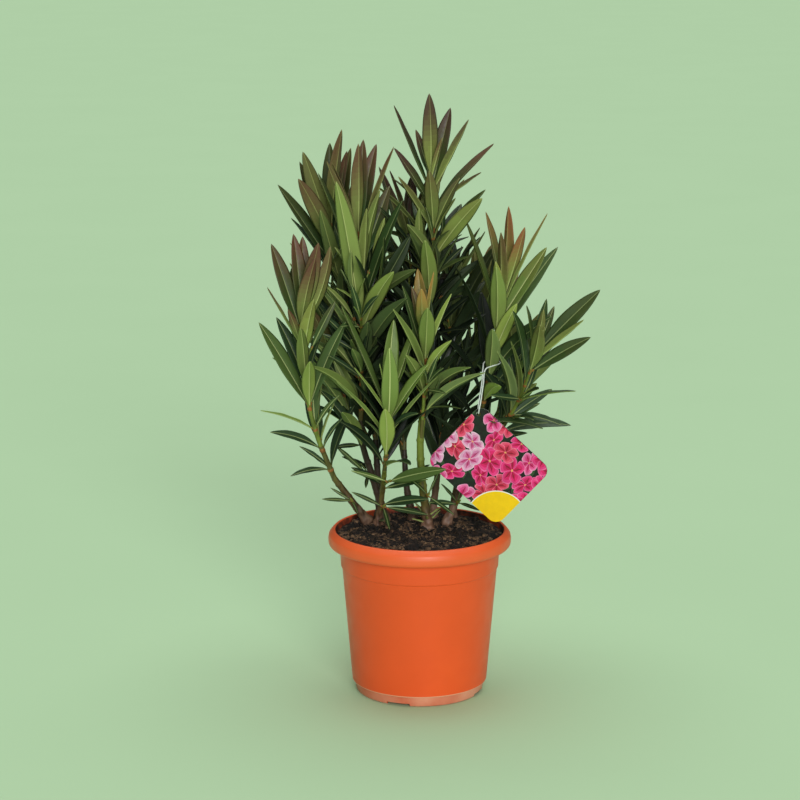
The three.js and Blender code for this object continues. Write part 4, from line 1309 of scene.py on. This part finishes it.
def side_sprays(shoot, index, path, drops):
    """Short side twigs from the axils below the top whorls, with leaves in threes."""
    sprays = []
    whole = path_length(path)
    for k, drop in enumerate(drops):
        for j in range(LEAF.whorl):
            seed = LEAF.whorl * k + j
            if drop < SPRAY.first_drop or chance(index, seed, 62) > SPRAY.share:
                continue
            spot = spot_on(shoot, index, path, drop, drop)
            out = between(spot["across"], radians(shoot["turn"] + 60 * k + 120 * j + 12))
            lean = radians(mix(*SPRAY.lean, chance(index, seed, 63)))
            length = mix(*SPRAY.length, chance(index, seed, 64))
            way = between((spot["along"], out), lean)
            bend = spot["root"] + way * length * 0.5
            tip = bend + (way + spot["along"] * 0.35).normalized() * length * 0.5
            twig = softened([spot["root"], bend, tip])
            found = []
            size = shoot["length"] * mix(*SPRAY.leaf, chance(index, seed, 65))
            for place_drop, share, open_angle in ((0.5, 1, 16), (0.42 * length, 0.8, 40)):
                for leaf in range(LEAF.whorl):
                    leaf_spot = spot_on(shoot, index, twig, place_drop, drop)
                    leaf_spot["whole"] = whole
                    turn = 120 * leaf + 60 * share + 50 * chance(index, seed, 66)
                    luck = 0.8 + 0.4 * chance(index, 7 * seed + leaf, 67)
                    found.append((leaf_spot, small_tries(leaf_spot, turn, size * share * luck,
                                                         open_angle + 8 * luck, 0.1)))
            sprays.append((index, twig, found))
    return sprays


def arching_leaves(shoot, index, path):
    """Older leaves that bend outwards, below the shoot's own whorls and down its stem."""
    full = [*stem_path(STEMS[shoot["name"]]), *path]
    start, end = ARCHING[shoot["name"]]
    found = []
    for k in range(int((end - start) / ARCH.pitch) + 1):
        spot = spot_on(shoot, index, full, start + ARCH.pitch * k, 200)
        for j in range(LEAF.whorl):
            seed = LEAF.whorl * k + j
            turn = shoot["turn"] + 30 + 60 * k + 120 * j + 30 * chance(index, seed, 68)
            size = shoot["length"] * mix(*ARCH.length, chance(index, seed, 69))
            lean = mix(*ARCH.lean, chance(index, seed, 70))
            found.append((spot, small_tries(spot, turn, size, lean, mix(0.12, 0.2, size / 110))))
    return found


def sprouts():
    """Small fresh leaves at the foot of the main stem."""
    stem = stem_path(STEMS["top"])
    look = dict(name="sprout")
    found = []
    for k in range(3):
        spot = spot_on(look, 0, stem, path_length(stem) - 5 - 4 * k, 200)
        for turn in (25 + 50 * k, 205 + 70 * k):
            found.append((spot, small_tries(spot, turn, 22 + 3 * k, 58)))
    return found


def low_leaves():
    """Lone old leaves low on the stems, shorter where another leaf is in the way."""
    order = {shoot["name"]: index for index, shoot in enumerate(SHOOTS)}
    found = []
    for name, drop, *end in LOW_LEAVES:
        index = order[name]
        spot = spot_on(SHOOTS[index], index, stem_path(STEMS[name]), drop, 200)
        way = Vector(end) - spot["root"]
        found.append((spot, [dict(tip=spot["root"] + way * share, radial=way.normalized(), bow=0.07,
                                  turn=52) for share in (1, 0.92, 0.84, 0.76, 0.68)]))
    return found


def place_leaf(place, tries, leaves, strips, share=1):
    """Grows the first try that stays in the crown and crosses no other leaf."""
    for grown in tries:
        strip = sheet_tree(place, grown)
        if inside_crown(grown["tip"], share) and not crosses(strip, strips):
            leaves[place["index"]].append((place, grown))
            strips.append(strip)
            return True
    return False


def grow_crown():
    """Every leaf of the solids again, the places that they left free, and finer growth."""
    paths = [twig_path(shoot) for shoot in SHOOTS]
    leaves = [[] for _ in SHOOTS]
    sprays = [[] for _ in SHOOTS]
    strips = []
    free = []
    for index, shoot in enumerate(SHOOTS):
        tree = node_points(node_name(shoot))
        for place in leaf_places(shoot, index, paths[index]):
            tries = leaf_tries(place)
            grown = next((t for t in tries if was_grown(place, t, tree)), None)
            if grown:
                leaves[index].append((place, grown))
                strips.append(sheet_tree(place, grown))
            else:
                free.append((place, tries))
    wanted = []
    for index, shoot in enumerate(SHOOTS):
        if shoot["name"] in ARCHING:
            free += arching_leaves(shoot, index, paths[index])
        if shoot["name"] != "front" and shoot["length"] > 100:
            free += bud_leaves(shoot, index, paths[index])
        if shoot["name"] in SPRAYED:
            drops = whorl_drops(shoot, path_length(paths[index]))
            wanted += side_sprays(shoot, index, paths[index], drops)
    for place, tries in low_leaves() + free + sprouts():
        place_leaf(place, tries, leaves, strips)
    for index, twig, found in wanted:
        inner = SPRAY.inner_share
        if sum(place_leaf(place, tries, leaves, strips, inner) for place, tries in found):
            sprays[index].append(twig)
    return paths, leaves, sprays


def node_name(shoot):
    sprig = shoot["name"].startswith("sprig")
    return shoot["name"] if sprig else "shoot_" + shoot["name"]


def make_crown():
    looks = {kind: twig_material(kind, colour) for kind, colour in TWIG_COLOURS.items()}
    paths, leaves, sprays = grow_crown()
    for index, shoot in enumerate(SHOOTS):
        twig = Build()
        drops = whorl_drops(shoot, path_length(paths[index]))
        add_twig(twig, shoot, paths[index], drops, looks)
        for path in sprays[index]:
            add_side_twig(twig, path, looks)
        name = shoot["name"]
        twig.finish("twig_" + name, "stem", node_name(shoot))
        blades = Build()
        for number, (place, grown) in enumerate(leaves[index]):
            add_leaf(blades, place, grown, 1000 * (index + 1) + number)
        blades.finish("leaves_" + name, "foliage", node_name(shoot))


# Tag and tie

def tag_frame():
    """The card's own axes: x along its long side, y along its short side, z to the front."""
    flat = Matrix.Rotation(radians(TAG.lean), 4, "Z")
    upright = Matrix.Rotation(pi / 2, 4, "X")
    turned_to = Matrix.Rotation(radians(TAG.turn), 4, "Z")
    return Matrix.Translation(Vector(TAG.centre)) @ turned_to @ upright @ flat


def card_outline(inset=0.0):
    """The rounded outline of the card, counter-clockwise."""
    x = TAG.long / 2 - inset
    y = TAG.short / 2 - inset
    r = TAG.corner - inset
    corners = [(x - r, -y + r, -90), (x - r, y - r, 0), (-x + r, y - r, 90), (-x + r, -y + r, 180)]
    out = []
    for cx, cy, start in corners:
        for step in range(11):
            a = radians(start + 9 * step)
            out.append((cx + r * cos(a), cy + r * sin(a)))
    return out


def ring_outline(cx, cy, radius, count=28):
    steps = [2 * pi * i / count for i in range(count)]
    return [(cx + radius * cos(a), cy + radius * sin(a)) for a in steps]


def clipped(shape, outline):
    """The part of a shape that lies inside a convex outline."""
    for (ax, ay), (bx, by) in zip(outline, outline[1:] + outline[:1]):
        inside = [(bx - ax) * (y - ay) - (by - ay) * (x - ax) for x, y in shape]
        kept = []
        for i, point in enumerate(shape):
            before = i - 1
            if (inside[i] >= 0) != (inside[before] >= 0):
                t = inside[before] / (inside[before] - inside[i])
                kept.append(tuple(mix(p, q, t) for p, q in zip(shape[before], point)))
            if inside[i] >= 0:
                kept.append(point)
        shape = kept
        if len(shape) < 3:
            return []
    return shape


def petal(way, size, wide):
    """One broad petal, a little turned like a pinwheel's sail, from the flower's middle out."""
    edges = ([], [])
    for step in range(17):
        t = step / 16
        half = wide * size * sin(pi * (0.03 + 0.93 * t ** 1.5)) * 0.5
        run = size * t * (1 + 0.05 * sin(8 * t))
        for row, across_share in zip(edges, (-0.7, 1.3)):
            x, y = run, half * across_share + 0.16 * size * t * t
            row.append((x * cos(way) - y * sin(way), x * sin(way) + y * cos(way)))
    return edges[0] + edges[1][::-1]


def laid(shape, spot, lie=0.0, squash=1.0):
    """A shape moved to its spot and seen aslant: narrower in the direction of its lie."""
    c, s = cos(lie), sin(lie)
    out = []
    for x, y in shape:
        near, far = (x * c + y * s) * squash, y * c - x * s
        out.append((spot[0] + near * c - far * s, spot[1] + near * s + far * c))
    return out


def print_material(name, colour, other):
    return patterned(name, colour, 0.34, ((160, 4), [(0.35, colour), (0.65, other)]), None,
                     [((900, 2), 0.05, 0.0001)], 0.3)


def add_print(build, slot, shape, height, place):
    """A flat printed shape just above the card's face, cut off at the card's edge."""
    shape = clipped(shape, card_outline(0.3))
    if not shape:
        return
    triangles = tessellate_polygon([[Vector((x, y, 0)) for x, y in shape]])
    points = [place @ Vector((x, y, height)) for x, y in shape]
    build.add(points, triangles, slot)


def make_tag():
    """A card with a picture of simple pink flowers over dark leaves and a yellow corner."""
    place = tag_frame()
    build = Build()
    card = build.slot(print_material("tag_card", (226, 232, 222), (236, 238, 230)))
    ground = build.slot(print_material("tag_picture_ground", (24, 16, 20), (26, 44, 28)))
    outer, inner = card_outline(), ring_outline(*TAG.hole, TAG.hole_radius)
    half = TAG.thick / 2
    flat = [Vector((x, y, 0)) for x, y in outer + inner]
    triangles = tessellate_polygon([flat[:len(outer)], flat[len(outer):]])
    points = [place @ (p + Vector((0, 0, z))) for z in (-half, half) for p in flat]
    count = len(flat)
    faces = []
    slots = []
    for face in triangles:
        a, b, c = (flat[i] for i in face)
        order = face if (b - a).cross(c - a).z > 0 else face[::-1]
        faces += [tuple(i + count for i in order), tuple(order[::-1])]
        slots += [ground, card]
    loops = [list(range(len(outer))), list(range(len(outer), count))[::-1]]
    for loop in loops:
        for a, b in zip(loop, loop[1:] + loop[:1]):
            faces.append((a, b, b + count, a + count))
            slots.append(card)
    build.add(points, faces, slots)
    add_picture(build, half, place)
    build.finish("picture_tag", "tag", "tag", smooth_faces=False)


# The colours of a printed petal, from its pale edge to its deep heart.
FLOWERS = dict(
    hot=[(255, 118, 176), (244, 62, 138), (232, 34, 110), (206, 22, 84), (150, 8, 52)],
    coral=[(255, 132, 160), (244, 84, 122), (226, 58, 94), (200, 38, 72), (146, 18, 48)],
    rose=[(255, 176, 214), (250, 118, 178), (238, 78, 148), (222, 44, 116), (176, 20, 76)],
    blush=[(255, 216, 236), (246, 180, 216), (234, 142, 192), (222, 96, 156), (190, 44, 104)])
NESTED = [(1, 0.98), (0.96, 0.88), (0.8, 0.7), (0.6, 0.5), (0.74, 0.12)]


def add_picture(build, front, place):
    """Flowers of five petals over dark leaves on a loose grid, and a plain yellow corner."""
    def ink(name, colour, shade=0.88):
        return build.slot(print_material("tag_" + name, colour, [c * shade for c in colour]))

    petals = {kind: [ink(f"{kind}_{i}", colour) for i, colour in enumerate(colours)]
              for kind, colours in FLOWERS.items()}
    leaf, throat = ink("leaf", (50, 80, 46)), ink("throat", (250, 176, 116))
    height = front + 0.02
    for *spot, i in picture_spots(PRINTED_LEAVES, PICTURE.leaf_tries, PICTURE.leaf_gap):
        height += 0.004
        way = ANY_TURN * chance(PRINTED_LEAVES, i, 3)
        blade = petal(way, PICTURE.leaf_length, PICTURE.leaf_width)
        add_print(build, leaf, laid(blade, spot), height, place)
    for *spot, i in picture_spots(FLOWER_SPOTS, PICTURE.flower_tries, PICTURE.flower_gap):
        size = mix(*PICTURE.flower_size, chance(FLOWER_LOOKS, i, 1))
        turn = ANY_TURN * chance(FLOWER_LOOKS, i, 2)
        warm = chance(FLOWER_LOOKS, i, 3) + spot[0] / TAG.long + 0.1
        kind = "hot" if warm > 0.4 else "rose" if warm > 0.08 else "blush"
        if chance(FLOWER_LOOKS, i, 12) < 0.25:
            kind = "coral"
        lie = ANY_TURN * chance(FLOWER_LOOKS, i, 10)
        squash = mix(0.55, 0.95, chance(FLOWER_LOOKS, i, 11))
        for p in range(5):
            way = turn + 2 * pi * p / 5 + 0.3 * (chance(FLOWER_LOOKS, i, p + 4) - 0.5)
            for slot, (share, wide) in zip(petals[kind], NESTED):
                height += 0.002
                shape = laid(petal(way, size * share, wide), spot, lie, squash)
                add_print(build, slot, shape, height, place)
        height += 0.002
        shape = laid(ring_outline(0, 0, size * 0.09, 12), spot, lie, squash)
        add_print(build, throat, shape, height, place)
    corner_x, corner_y = TAG.long / 2 - 4, 4 - TAG.short / 2
    white, yellow = ink("white", (246, 242, 234), 0.98), ink("yellow", (255, 208, 6), 0.97)
    for slot, radius in ((white, PICTURE.line), (yellow, PICTURE.corner)):
        height += 0.01
        add_print(build, slot, ring_outline(corner_x, corner_y, radius, 48), height, place)


def picture_spots(seed, tries, gap):
    """Places on the card at least a gap apart and away from its hole, the same every run."""
    spots = []
    for i in range(tries):
        x = (TAG.long + 12) * (chance(seed, i, 1) - 0.5)
        y = (TAG.short + 12) * (chance(seed, i, 2) - 0.5)
        away = hypot(x - TAG.hole[0], y - TAG.hole[1])
        if away > 17 and all(hypot(x - a, y - b) > gap for a, b, _ in spots):
            spots.append((x, y, i))
    return spots


def closed_curve(points, steps):
    """A centripetal Catmull-Rom curve through all the points and back to the first."""
    out = []
    count = len(points)
    for i in range(count):
        corners = [points[(i + k - 1) % count] for k in range(4)]
        knots = [0]
        for a, b in zip(corners, corners[1:]):
            knots.append(knots[-1] + (b - a).length ** 0.5)
        for step in range(steps):
            t = mix(knots[1], knots[2], step / steps)
            row = corners
            for spans in ([(0, 1), (1, 2), (2, 3)], [(0, 2), (1, 3)], [(1, 2)]):
                shares = [(t - knots[a]) / (knots[b] - knots[a]) for a, b in spans]
                row = [row[k].lerp(row[k + 1], share) for k, share in enumerate(shares)]
            out.append(row[0])
    return out


def make_tie():
    """The closed loop of soft cord round the shoot and through the tag's hole."""
    sides = TIE.sides
    places = closed_curve(vectors(TIE_ROUTE), TIE.steps)
    count = len(places)
    side = across(places[1] - places[-1])[0]
    points = []
    for i in range(count):
        along = (places[(i + 1) % count] - places[i - 1]).normalized()
        side = (side - along * side.dot(along)).normalized()
        other = along.cross(side)
        for j in range(sides):
            points.append(places[i] + between((side, other), 2 * pi * j / sides) * TIE.radius)
    closing = min(range(sides), key=lambda j: (points[j] - points[-sides]).length)
    faces = []
    for i in range(count):
        skip = closing if i == count - 1 else 0
        for j in range(sides):
            k = (j + 1) % sides
            low, high = i * sides, (i + 1) % count * sides
            faces.append((low + j, low + k, high + (k + skip) % sides, high + (j + skip) % sides))
    sheen = (500, 3)
    cord = patterned("soft_cord", (226, 232, 228), 0.28, None, (sheen, 0.2, 0.4),
                     [(sheen, 0.15, 0.0002)])
    build = Build()
    build.add(points, faces, build.slot(cord))
    build.finish("tag_cord", "tie", "tag_tie")


# The stage, the lights and the camera

# Wide soft lights from far away: azimuth 0 shines from the front, 90 from the right, and the
# spread is the angle that the light fills.
LIGHTS = [dict(name="top_light", azimuth=180, elevation=76, strength=2.15, spread=64),
          dict(name="front_light", azimuth=9, elevation=20, strength=2.05, spread=30)]

# The light of the room around, the floor's reach in metres, and the camera: its place in metres,
# how many degrees it looks down, and its lens and sensor in millimetres.
ROOM = Sizes(colour=(206, 222, 202), strength=0.12)
FLOOR_REACH = 30
CAMERA = Sizes(place=(-0.023, -2.8, 0.95), down=12.15, lens=111.4, sensor=36)


def make_stage():
    """A wide pale floor that reaches to the horizon."""
    tint = ((3, 3), [(0.2, (178, 209, 169)), (0.8, (180, 211, 171))])
    mesh = bpy.data.meshes.new("floor")
    far = FLOOR_REACH
    corners = [(-far, -far, 0), (far, -far, 0), (far, far, 0), (-far, far, 0)]
    mesh.from_pydata(corners, [], [(0, 1, 2, 3)])
    mesh.materials.append(patterned("sage_floor", (179, 210, 170), 0.95, tint, specular=0.1))
    floor = in_scene("floor", mesh)


def make_light():
    world = bpy.data.worlds.new("sage_room")
    world.use_nodes = True
    room = world.node_tree.nodes["Background"]
    set_values(room, {"Color": (*linear(ROOM.colour), 1), "Strength": ROOM.strength})
    bpy.context.scene.world = world
    for values in LIGHTS:
        sun = bpy.data.lights.new(values["name"], "SUN")
        sun.energy = values["strength"]
        sun.angle = radians(values["spread"])
        lamp = in_scene(values["name"], sun)
        lamp.rotation_euler = (radians(90 - values["elevation"]), 0, radians(values["azimuth"]))
    bpy.context.scene.view_settings.view_transform = "Standard"


def make_camera():
    camera = bpy.data.cameras.new("camera")
    camera.lens = CAMERA.lens
    camera.sensor_width = CAMERA.sensor
    holder = in_scene("camera", camera)
    holder.location = CAMERA.place
    holder.rotation_euler = (radians(90 - CAMERA.down), 0, 0)
    bpy.context.scene.camera = holder


make_camera()
make_stage()
make_light()
make_pot()
make_soil()
make_stems()
make_crown()
make_tag()
make_tie()
